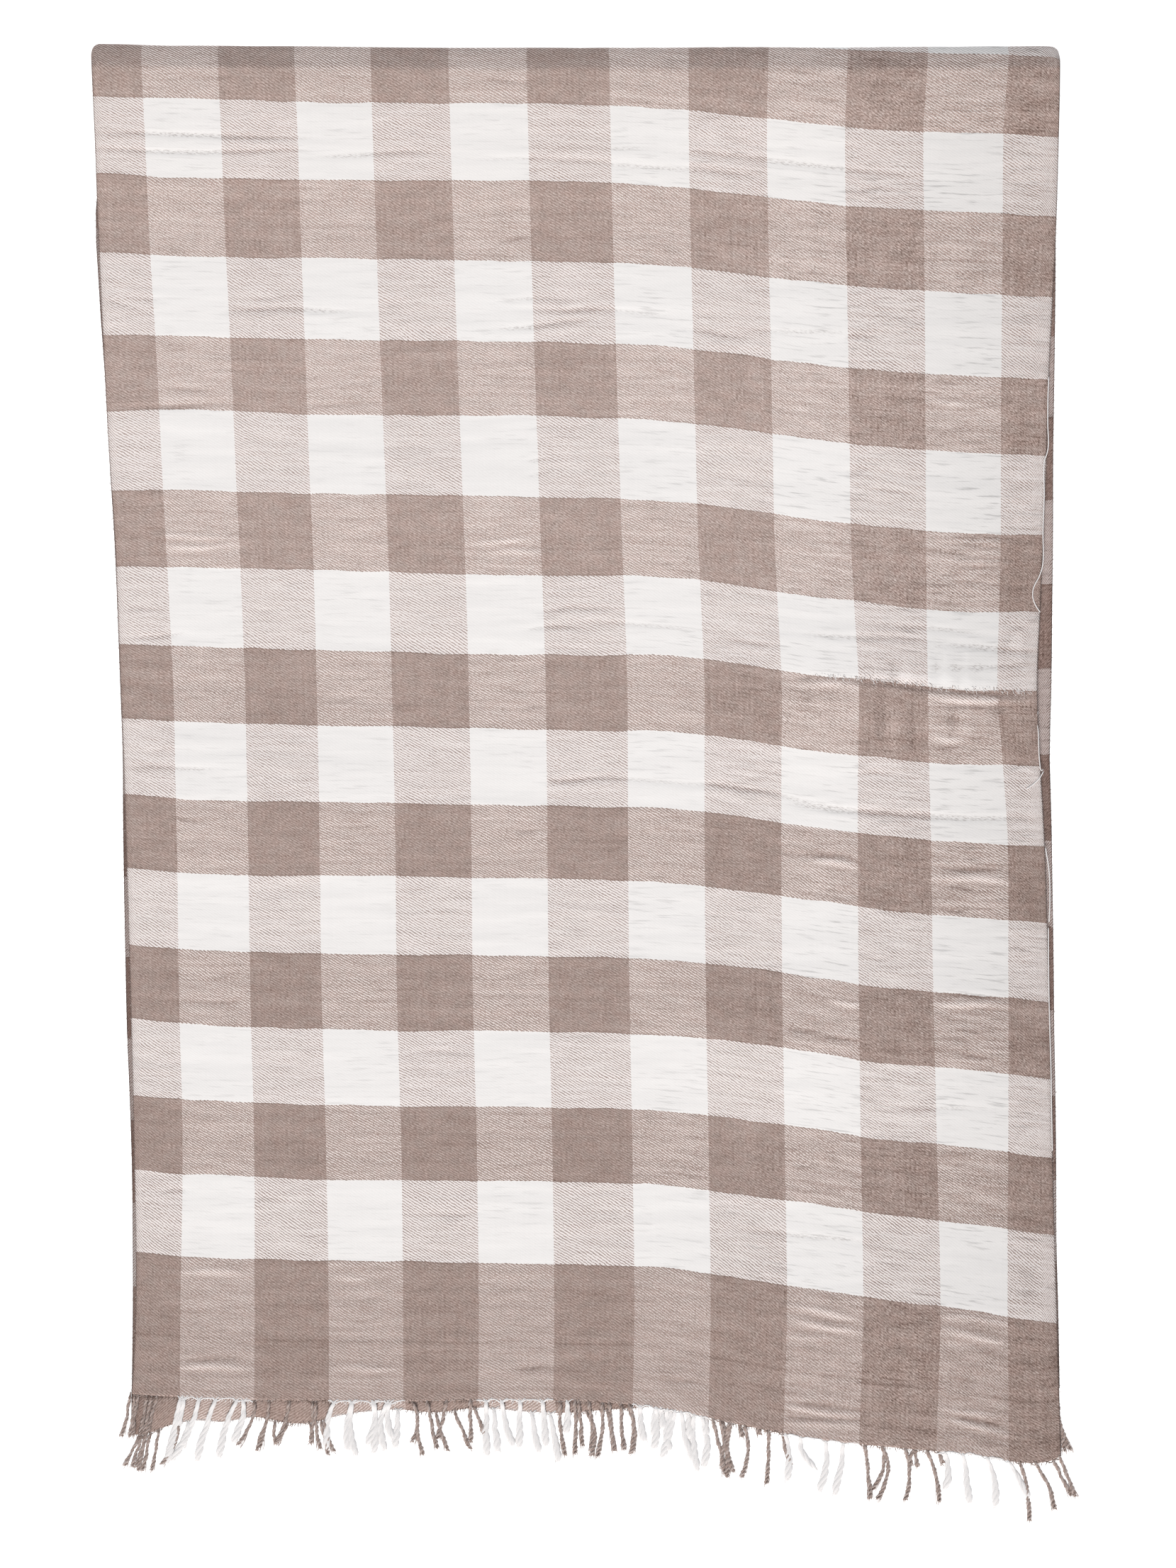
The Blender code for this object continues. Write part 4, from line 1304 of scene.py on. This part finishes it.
def hidden_strands():
    """Evenly spaced strands with small leans for the stretch of lower hem that can't be seen."""
    chance = random.Random(41)
    taupe, ivory = [], []
    first_across, last_across = LOWER_HEM[0][0], LOWER_HEM[-1][0]
    stripe_edges = [SELVEDGE_STRIPE + STRIPE * k for k in range(STRIPE_ORDER)]
    for x in HIDDEN_PLACES:
        lean = chance.uniform(*HIDDEN_LEANS)
        strand = (x, lean * 0.4, lean, chance.uniform(*HIDDEN_LENGTHS))
        thread = (x - first_across) / (last_across - first_across) * CLOTH_WIDTH
        order = sum(thread > edge for edge in stripe_edges)
        (ivory if order % 2 else taupe).append(strand)
    return taupe, ivory


hidden_taupe, hidden_ivory = hidden_strands()
print("strands that are hidden:", len(hidden_taupe) + len(hidden_ivory))

# %% [markdown]
# ## Yarn as tubes
# Every ply, fibre, hem thread and hair is a tube along a path of points, and one heap collects many
# tubes into a single mesh, because thousands of separate objects would be slow to handle. A tube
# that lies on the floor is pressed flat on it. If all of them were pressed to one level, they would
# share a plane and flicker from below, so each tube rests at its own height, a hair apart.

# %% A tube along a path
def stack_line(*columns):
    """Join columns of across, level and height values (mm) into a path."""
    return np.stack(columns, axis=1)


def tube(path, radii, sides=6, flatness=1.0):
    """Return points and faces of a closed tube along a path (mm), with a radius at every point."""
    path = np.asarray(path, float)
    radii = np.broadcast_to(np.asarray(radii, float), (len(path),))
    tangent = np.gradient(path, axis=0)
    tangent /= np.linalg.norm(tangent, axis=1, keepdims=True) + 1e-9
    side = np.cross((0.0, 0.0, 1.0), tangent)
    side /= np.linalg.norm(side, axis=1, keepdims=True) + 1e-9
    lift = np.cross(tangent, side) * flatness
    angles = np.arange(sides) * (2 * math.pi / sides)
    cosines, sines = np.cos(angles)[None, :, None], np.sin(angles)[None, :, None]
    ring = side[:, None, :] * cosines + lift[:, None, :] * sines
    rings = path[:, None, :] + ring * radii[:, None, None]
    last_row = (len(path) - 1) * sides
    faces = [
        (row + k, row + (k + 1) % sides, row + sides + (k + 1) % sides, row + sides + k)
        for row in range(0, last_row, sides) for k in range(sides)
    ]
    faces.append(tuple(range(sides))[::-1])
    faces.append(tuple(last_row + k for k in range(sides)))
    return rings.reshape(-1, 3), faces


short_tube = tube(((0, 0, 0), (0, 1, 0), (0, 2, 0)), 0.5)
print("points and faces of a short tube:", [len(part) for part in short_tube])

# %% A heap of yarn
UPPER_REST, LOWER_REST = 0.02, 0.023
REST_STEP = 0.006
REST_LEVELS = 31


class YarnHeap:
    """Collects tubes of yarn with their colour (-1 deep brown, also painted shade, 0 taupe, 1 ivory)."""

    def __init__(self, lowest):
        self.points, self.faces, self.ivory, self.total = [], [], [], 0
        self.lowest = lowest

    def add(self, path, radii, ivory, sides=6, flatness=1.0):
        """Add one tube, lifted where it would sink below its resting height."""
        rings, faces = tube(path, radii, sides, flatness)
        resting = self.lowest + REST_STEP * (len(self.points) % REST_LEVELS)
        rings[:, 2] = np.maximum(rings[:, 2], resting)
        self.points.append(rings)
        self.faces += [tuple(self.total + k for k in face) for face in faces]
        self.ivory.append(np.full(len(rings), float(ivory)))
        self.total += len(rings)

    def make(self, name, finish):
        """Turn the heap into one piece of the stole."""
        mesh = bpy.data.meshes.new(name)
        mesh.from_pydata((np.concatenate(self.points) * MM).tolist(), [], self.faces)
        mesh.shade_smooth()
        colour = mesh.attributes.new("ivory_yarn", "FLOAT", "POINT")
        colour.data.foreach_set("value", np.concatenate(self.ivory))
        mesh.materials.append(finish)
        piece = add_object(name, mesh)
        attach(piece, "root")
        print(name, "faces:", len(self.faces))
        return piece


print("heights at which tubes rest:", REST_LEVELS)

# %% Where the hems lie
HEM_POINTS = 281
GROUND_FADE, GROUND_PAST = 6, 4
fold_y_mm = FOLD_Y / MM
hem_threads = np.linspace(0, width_mm, HEM_POINTS)
upper_hem_down = down_upper(hem_threads, np.zeros(HEM_POINTS))
upper_hem_across = across_upper(hem_threads, upper_hem_down)
lower_hem_across, lower_hem_down = lie_of_lower(hem_threads, np.full(HEM_POINTS, length_mm))


def ground_under(across_mm, down_mm, upper):
    """Height (mm) of what a strand lies on: the lower half's border, or the floor."""
    if not upper:
        return 0.0
    edge = float(np.interp(across_mm, lower_hem_across, lower_hem_down))
    return CLOTH_THICKNESS * min(1.0, max(0.0, (edge + GROUND_PAST - down_mm) / GROUND_FADE))


print("upper hem at the middle (mm down):", round(float(np.interp(0, upper_hem_across, upper_hem_down)), 1))

# %% [markdown]
# ## How a strand grows out of the hem
# A strand is warp before it is fringe, so its centre line starts just inside the hem, thin and
# level with the cloth, and only fills out as it comes clear. Then it bends through the place set
# for its middle to the one set for its tip, with a slight shiver, and sinks to whatever it lies on.

# %% The bent centre line of a strand
INSIDE_HEM, CLEAR_OF_HEM = 1.6, 4.0
POINT_SPACING, FEWEST_POINTS = 1.2, 8
SHIVERS = ((9, 0.6), (19, 0.3))
SINKING, AXIS_HEIGHT = 5, 0.6


def out_of_hem(part, length):
    """0 where a strand is still warp inside the cloth, 1 once it is clear of the hem."""
    return ramp(part * (length + INSIDE_HEM), 0, CLEAR_OF_HEM)


def centre_line(strand, hem_down, hem_z, upper, chance):
    """Bent centre line (mm) of a strand from just inside the hem to its tip."""
    x, bend, lean, length = strand
    part = np.linspace(0, 1, max(FEWEST_POINTS, int(length / POINT_SPACING)))
    pull, curve = 4 * bend - lean, 2 * lean - 4 * bend
    wobble = np.zeros(len(part))
    for beat, size in SHIVERS:
        shift, swing = chance.uniform(-1, 1) * 3, chance.uniform(-1, 1) * size
        wobble += np.sin(part * beat + shift) * swing
    sideways = x + pull * part + curve * part * part + wobble * np.sin(part * math.pi)
    down_mm = hem_down - INSIDE_HEM + part * (length + INSIDE_HEM)
    ground = np.array([ground_under(a, d, upper) for a, d in zip(sideways, down_mm)])
    height_mm = np.maximum(hem_z * (1 - part * SINKING) + AXIS_HEIGHT, 0) + ground + AXIS_HEIGHT
    highest = hem_z - 0.1 + 0.7 * out_of_hem(part, length)
    return stack_line(sideways, fold_y_mm - down_mm, np.minimum(height_mm, highest)), part


print("a strand starts inside the hem by (mm):", INSIDE_HEM)

# %% An ivory wisp: fat soft plies, a fuzz of single fibres and two short roots
IVORY_PLY, IVORY_TURN, IVORY_PLIES = 1.34, 19.0, 3
FIBRES = 9
ROOT_POINT = 3
ROOT_SPREADS = ((-1, 1.2, 2.4), (1, 2.6, 4.6))


def wind(part, length, turn, phase, share):
    """Angles of one ply as it winds round a strand: one turn in so many millimetres."""
    return part * length / turn * 2 * math.pi + phase + share * 2 * math.pi


def lay_wisp(heap, line, part, length, chance):
    """Add an ivory strand that has opened out. It is narrow at the hem and full below."""
    clear = out_of_hem(part, length)
    round_tip = np.sqrt(np.clip((1.02 - part) * 7, 0.04, 1))
    radius = (0.72 + 0.5 * np.clip(part * 1.4, 0, 1) ** 1.5) * (0.4 + 0.6 * clear) * round_tip
    spread = (0.35 + 0.75 * np.clip(part * 1.3, 0, 1)) * clear * round_tip
    phase = chance.uniform(0, 6.28)
    for k in range(IVORY_PLIES):
        angle = wind(part, length, IVORY_TURN, phase, k / IVORY_PLIES)
        offset = stack_line(np.cos(angle), np.sin(angle) * 0.1, np.sin(angle) * 0.25)
        heap.add(line + offset * (IVORY_PLY * spread)[:, None], IVORY_PLY * radius, 1, 8, 0.6)
    for _ in range(FIBRES):
        run = line[chance.randint(int(len(line) * 0.3), int(len(line) * 0.72)):]
        out = np.linspace(0, 1, len(run))
        side = chance.uniform(-1.9, 1.9)
        curl = chance.uniform(-0.9, 0.9)
        sway = side * (0.45 + 0.6 * out) * (IVORY_PLY * 0.95) + curl * np.sin(out * 5)
        fibre = run + stack_line(sway, -chance.uniform(-0.5, 2.2) * out, np.full(len(run), 0.15))
        heap.add(fibre, np.linspace(0.34, 0.13, len(fibre)), 1, 4)
    root = line[min(ROOT_POINT, len(line) - 1)]
    climb = np.linspace(0, 1, 6)
    for way in [side * chance.uniform(*spread_range) for side, *spread_range in ROOT_SPREADS]:
        leg = stack_line(
            root[0] + way * climb ** 1.4, root[1] + (3.4 + 0.12 * abs(way)) * climb ** 0.7,
            root[2] - 0.2 - 0.15 * climb,
        )
        heap.add(leg, np.linspace(0.75, 0.42, len(leg)), 1)


print("tubes in an ivory wisp:", IVORY_PLIES + FIBRES + len(ROOT_SPREADS))

# %% A taupe bundle: hard-spun plies, a knot at the root and a fray at the tip
TAUPE_PLY, TAUPE_TURN, TAUPE_PLIES = 0.76, 6.0, 2
THICKER_FROM, THICKER_OVER, THICKER_BY = -150.0, 60.0, 0.2
LOW_FIBRES, LOW_START, HIGH_START = 6, 0.55, 0.2
KNOT_TURNS, KNOT_POINTS = 1.15, 14
PLY_SHADE, KNOT_BROWN, FIBRE_BROWN = -1, -0.7, -0.4


def lay_bundle(heap, line, part, length, chance):
    """Add a taupe strand, which stays twisted, with painted shade between its plies."""
    lumps = 1 + 0.22 * np.sin(part * length * 0.55 + chance.uniform(0, 6)) + 0.1 * np.sin(part * length * 1.7)
    ply = TAUPE_PLY * (1 + THICKER_BY * float(ramp(line[0][0], THICKER_FROM, THICKER_OVER)))
    clear = out_of_hem(part, length)
    ends = np.where(part > 0.9, 1 - (part - 0.9) * 6, 0.4 + 0.6 * clear)
    spread = (0.82 + np.clip(part - 0.6, 0, 1) * 2.2) * clear
    phase = chance.uniform(0, 6.28)
    for k in range(TAUPE_PLIES):
        angle = wind(part, length, TAUPE_TURN, phase, k / TAUPE_PLIES)
        offset = stack_line(np.cos(angle), np.sin(angle) * 0.15, np.sin(angle) * 0.5)
        heap.add(line + offset * (ply * spread)[:, None], ply * lumps * ends, 0.12 - 0.4 * k)
    # a deep brown core under the plies: painted shade that shows between them
    heap.add(line - np.array((0, 0, 0.25)), ply * 1.15 * ends, PLY_SHADE, 6, 0.5)
    for number in range(FIBRES):
        run = line[int(len(line) * (LOW_START if number < LOW_FIBRES else HIGH_START)):]
        out = np.linspace(0, 1, len(run))
        fan = chance.uniform(-2.5, 2.5) * out ** 1.3 + 0.4 * np.sin(out * 7 + number)
        fibre = run + stack_line(fan, -chance.uniform(-1, 3.0) * out, np.full(len(run), 0.2))
        heap.add(fibre, np.linspace(0.3, 0.12, len(fibre)), FIBRE_BROWN * (number % 3 == 0), 4)
    root = line[min(ROOT_POINT, len(line) - 1)]
    turns = np.linspace(0, 2 * math.pi * KNOT_TURNS, KNOT_POINTS)
    tilt = chance.uniform(-0.5, 0.5)
    knot = stack_line(
        root[0] + np.cos(turns) * 0.7, root[1] + np.sin(turns) * 0.9 + np.cos(turns) * tilt * 0.6,
        root[2] + 0.15 + np.sin(turns * 0.5) * 0.25,
    )
    heap.add(knot, 0.36, KNOT_BROWN)


print("tubes in a taupe bundle:", TAUPE_PLIES + 1 + FIBRES + 1)

# %% [markdown]
# ## The thread along a hem
# At each hem a thread links the roots of the strands and dips a little at each. It takes the colour
# of the stripe it crosses, and in the taupe stripes it changes shade every few millimetres; its
# deep brown pieces there are painted shade along the hem's edge. Short tufts, the ends of single
# warps, stand out of the hem between the strands.

# %% The thread along a hem
CORD_SPACING, CORD_DIP, DIP_WIDTH = 1.3, 2.0, 2.4
CORD_SWING, SWING_PACE, SWING_LAYER = 0.8, 0.21, 3.0
IVORY_RUN = 60
# the darker shades of the thread's taupe pieces are painted shade along the hem
CORD_SHADES = (-1, -0.5, -0.1, 0.15)


def is_ivory_warp(threads_at):
    """Say for each thread (mm from the left selvedge) whether it belongs to an ivory stripe."""
    order = (np.minimum(threads_at, width_mm - threads_at) - SELVEDGE_STRIPE / MM) / (STRIPE / MM)
    return ((order / 2) % 1 < 0.5) & (order > 0)


def lay_hem_cord(heap, hem_across, hem_down, roots, hem_z, fullness, chance):
    """Add the thread that links the roots along a hem, dipping at each strand."""
    xs = np.arange(hem_across[0] + 1, hem_across[-1] - 1, CORD_SPACING)
    downs = np.interp(xs, hem_across, hem_down)
    nearest = np.min(np.abs(xs[:, None] - np.array(sorted(roots))[None, :]), axis=1)
    dip = CORD_DIP * np.exp(-(nearest / DIP_WIDTH) ** 2)
    swing = np.array([CORD_SWING * noise.noise(Vector((x * SWING_PACE, hem_z, SWING_LAYER))) for x in xs])
    ivory = is_ivory_warp(np.interp(xs, hem_across, hem_threads))
    line = stack_line(xs, fold_y_mm - (downs - 0.5 + dip + swing), np.full(len(xs), hem_z + 0.15))
    start = 0
    for k in range(1, len(xs) + 1):
        longest = IVORY_RUN if ivory[start] else chance.randint(2, 5)
        if k == len(xs) or ivory[k] != ivory[start] or k - start >= longest:
            piece = line[max(start - 1, 0): min(k + 1, len(xs))]
            shade = 1 if ivory[start] else chance.choice(CORD_SHADES)
            if len(piece) > 2:
                radius = 0.6 if ivory[start] else chance.uniform(0.25, 0.5)
                heap.add(piece, fullness * radius, shade * fullness)
            start = k


print("threads of the upper hem that are ivory:", int(is_ivory_warp(hem_threads).sum()), "of", HEM_POINTS)

# %% Tufts along a hem, and a whole strand
TUFT_SPACING, TUFT_SHADES = 1.9, (-1, -0.6, 0)


def lay_tufts(heap, hem_across, hem_down, hem_z, chance):
    """Add the short ends of single warps that stand out of a hem."""
    along = np.linspace(0, 1, 4)
    for x in np.arange(hem_across[0] + 2, hem_across[-1] - 2, TUFT_SPACING):
        down_here = float(np.interp(x, hem_across, hem_down)) + chance.uniform(-1.4, 0.8)
        lean = chance.uniform(-1.6, 1.0)
        long = chance.uniform(1.2, 3.4)
        ivory_tuft = bool(is_ivory_warp(np.interp([x], hem_across, hem_threads))[0])
        heights = hem_z + 0.5 - 0.5 * along * hem_z
        tuft = stack_line(x + lean * along, fold_y_mm - down_here - long * along, heights)
        heap.add(tuft, np.linspace(0.36, 0.16, 4), 1 if ivory_tuft else chance.choice(TUFT_SHADES), 4)


def lay_strand(heap, strand, ivory, hem_down, hem_z, upper, chance):
    """Add one strand of either kind to a heap of yarn."""
    line, part = centre_line(strand, hem_down, hem_z, upper, chance)
    lay = lay_wisp if ivory else lay_bundle
    lay(heap, line, part, strand[3], chance)


print("tufts along the upper hem:", int((upper_hem_across[-1] - upper_hem_across[0] - 4) / TUFT_SPACING) + 1)

# %% [markdown]
# ## The fringe's finish
# The fringe is the same goat hair without the weave, so it takes the same matt material and the
# same uneven yarn. A value stored on every tube says whether it is ivory, taupe or deep brown, the
# last also serving as painted shade between plies and along a hem, so one finish serves all the
# strands.

# %% The yarn's finish
FRINGE_TAUPE = seen_tone(166, 147, 139)
FRINGE_BROWN_AND_SHADE = seen_tone(112, 90, 80)
FRINGE_IVORY = seen_tone(237, 233, 232)


def make_yarn_finish():
    """Goat-hair yarn, taupe or ivory by the value stored on each strand."""
    material, tree, shader = open_material("fringe_yarn", 0.95, 0.2)
    yarn_kind = read_attribute(tree, "ivory_yarn").outputs["Fac"]
    ivory_here = calc(tree, "MAXIMUM", yarn_kind, 0.0)
    spots = tree.nodes.new("ShaderNodeTexCoord")
    place_parts = tree.nodes.new("ShaderNodeSeparateXYZ")
    tree.links.new(spots.outputs["Object"], place_parts.inputs["Vector"])
    x_out, y_out = place_parts.outputs[:2]
    uneven = place_group(tree, yarn_tone, {
        "Across": x_out, "Along": y_out, "Weft Streaks": 0.1, "Warp Streaks": 0.12, "Blotches": 0.1,
        "Speckle": 0.2,
    })
    dark = less(tree, 1.0, ivory_here)
    tone_change = less(tree, uneven.outputs["Tone"], 1.0)
    tone = times_plus(tree, tone_change, times_plus(tree, dark, 0.8, 0.15), 1.0)
    yarn = blend_colour(tree, ease(tree, yarn_kind, 0.0, -1.0), FRINGE_TAUPE, FRINGE_BROWN_AND_SHADE)
    yarn = blend_colour(tree, ivory_here, yarn, FRINGE_IVORY)
    yarn = blend_colour(tree, 1.0, yarn, as_colour(tree, tone, dark), "MULTIPLY")
    feed(tree, shader.inputs["Base Color"], yarn)
    add_bump(tree, shader, uneven.outputs["Nap"], 0.4)
    return material


yarn_finish = make_yarn_finish()
print("finish of the fringe:", yarn_finish.name)

# %% Lay a whole fringe
def lay_fringe(heap, taupe, ivory, hem, hem_z, fullness, upper, chance):
    """Add all the strands of a hem, taupe first, then its thread and its tufts."""
    hem_across, hem_down = hem
    for is_ivory, strands in ((False, taupe), (True, ivory)):
        for strand in strands:
            hem_here = float(np.interp(strand[0], hem_across, hem_down))
            lay_strand(heap, strand, is_ivory, hem_here, hem_z, upper, chance)
    roots = column_of((*taupe, *ivory), 0)
    lay_hem_cord(heap, hem_across, hem_down, roots, hem_z, fullness, chance)
    lay_tufts(heap, hem_across, hem_down, hem_z, chance)


chance = random.Random(7)
upper_heap = YarnHeap(UPPER_REST)
upper_hem = (upper_hem_across, upper_hem_down)
lay_fringe(upper_heap, UPPER_TAUPE, UPPER_IVORY, upper_hem, UPPER_Z, 1.0, True, chance)
upper_fringe = upper_heap.make("front_fringe_strands", yarn_finish)
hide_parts("front_fringe")

# %% The lower fringe
LOWER_FULLNESS = 0.6
lower_heap = YarnHeap(LOWER_REST)
lower_taupe, lower_ivory = (*LOWER_TAUPE, *hidden_taupe), (*LOWER_IVORY, *hidden_ivory)
lower_hem = (lower_hem_across, lower_hem_down)
lay_fringe(lower_heap, lower_taupe, lower_ivory, lower_hem, LOWER_Z, LOWER_FULLNESS, False, chance)
lower_fringe = lower_heap.make("back_fringe_strands", yarn_finish)
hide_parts("back_fringe")

# %% [markdown]
# ## A loose selvedge thread, pulled threads and hairs
# Along the right selvedge one ivory thread has worked free. It runs beside the cloth, makes one
# open loop and ends in a short tail, as loose threads do on a hand-woven edge. It is a single ply
# laid over the cloth, so a thin tube along a few placed points is enough. Where the cloth was
# caught, short ends of pulled threads stand on the lip of the pucker, and a selvedge is never quite
# clean, so short hairs stand out all along it. Both are too many to place, so seeded chance spreads
# them.

# %% Loose threads: points (across, down) in mm
LOOSE_THREADS = (
    ((336, 241), (335.4, 256), (335.3, 275), (335.6, 292), (334.4, 297.5), (333, 301), (332.7, 327),
     (331.8, 353), (331.5, 378), (329, 386), (325, 394), (324.3, 400), (326, 406), (329.8, 412)),
    ((328, 484), (327.3, 491), (328.3, 498.4), (328.6, 507), (329.4, 521), (330.7, 527), (332.6, 525.5)),
    ((332.2, 527.5), (329.6, 532), (324.6, 537), (319.5, 540.5)),
    ((333.6, 583), (336.2, 600), (336.8, 622), (336.2, 637)),
    ((335.7, 641), (335.8, 662), (336.1, 688), (336.7, 714), (337.5, 740), (338, 770), (338.6, 804)),
)
THREAD_SPACING, THREAD_RADIUS = 1.5, 0.38


def thread_path(marks):
    """Smooth the placed points of a loose thread and lay it on the cloth."""
    marks = np.array(marks, float)
    walked = np.concatenate(([0], np.cumsum(np.hypot(*np.diff(marks, axis=0).T))))
    steps = np.arange(0, walked[-1], THREAD_SPACING)
    xs, downs = [smooth(steps, walked, marks[:, k]) for k in (0, 1)]
    return stack_line(xs, fold_y_mm - downs, np.full(len(steps), UPPER_Z + CLOTH_THICKNESS / 2 + 0.5))


thread_heap = YarnHeap(UPPER_REST)
for marks in LOOSE_THREADS:
    thread_heap.add(thread_path(marks), THREAD_RADIUS, 1)
print("loose threads:", len(LOOSE_THREADS))

# %% Pulled threads on the lip of the pucker: (across, down) along the lip, and how many
PUCKER_LIP = ((165, 458.6), (193, 460.0), (206, 460.6), (236, 464.6), (262, 467.6), (298, 468.6), (324, 471))
LIP_ENDS = (166, 324)
PULLED_THREADS = 170
PULLED_SHADES = (1, 1, 1, 0)


def top_of_cloth(across_mm, down_mm):
    """Height (mm) of the upper face at a place on the upper half."""
    upper = middle_surface[:TURN_ROW]
    gap = (upper[:, :, 0] / MM - across_mm) ** 2 + (upper[:, :, 1] / MM - fold_y_mm + down_mm) ** 2
    return float(upper[:, :, 2].flat[gap.argmin()]) / MM + CLOTH_THICKNESS / 2


def lay_hair(heap, start, reach_out, rise, radii, ivory):
    """Add a short curved hair from a point (across, down, height)."""
    along = np.linspace(0, 1, 4)
    hair = stack_line(
        start[0] + reach_out[0] * along, fold_y_mm - start[1] - reach_out[1] * along ** 1.5,
        start[2] + rise * np.sin(along * math.pi) - 0.25 * along,
    )
    heap.add(hair, np.linspace(*radii, 4), ivory, 4)


for _ in range(PULLED_THREADS):
    spot = chance.uniform(*LIP_ENDS)
    lip = float(np.interp(spot, *zip(*PUCKER_LIP))) + chance.uniform(-2.6, 1.0)
    way_out = (chance.uniform(-1.0, 2.6), chance.uniform(0.8, 3.2))
    start = (spot, lip, top_of_cloth(spot, lip) + 0.05)
    lay_hair(thread_heap, start, way_out, 0.2, (0.24, 0.12), chance.choice(PULLED_SHADES))
print("pulled threads:", PULLED_THREADS)

# %% Hairs along the selvedges of both halves
HAIR_PLACES = np.arange(24, 980, 5.0)
HAIR_SHADES = (0.3, 0, -0.5)
HAIR_INSIDE = 0.3
UPPER_EDGES = [(row[0], row[1], row[-1]) for row in UPPER_STRIPES]
for edges, lift in ((UPPER_EDGES, UPPER_Z), (LOWER_EDGES, LOWER_Z)):
    for way, column in ((-1, 1), (1, 2)):
        for hair_place in HAIR_PLACES:
            down_here = hair_place + chance.uniform(-2.5, 2.5)
            place_here = float(follow(edges, down_here, column)) - way * HAIR_INSIDE
            way_out = (way * chance.uniform(0.5, 1.9), chance.uniform(-1.4, 1.4))
            start = (place_here, down_here, lift)
            lay_hair(thread_heap, start, way_out, 0.1, (0.2, 0.09), chance.choice(HAIR_SHADES))
loose_thread = thread_heap.make("selvedge_thread", yarn_finish)
print("hairs along the selvedges:", 4 * len(HAIR_PLACES))
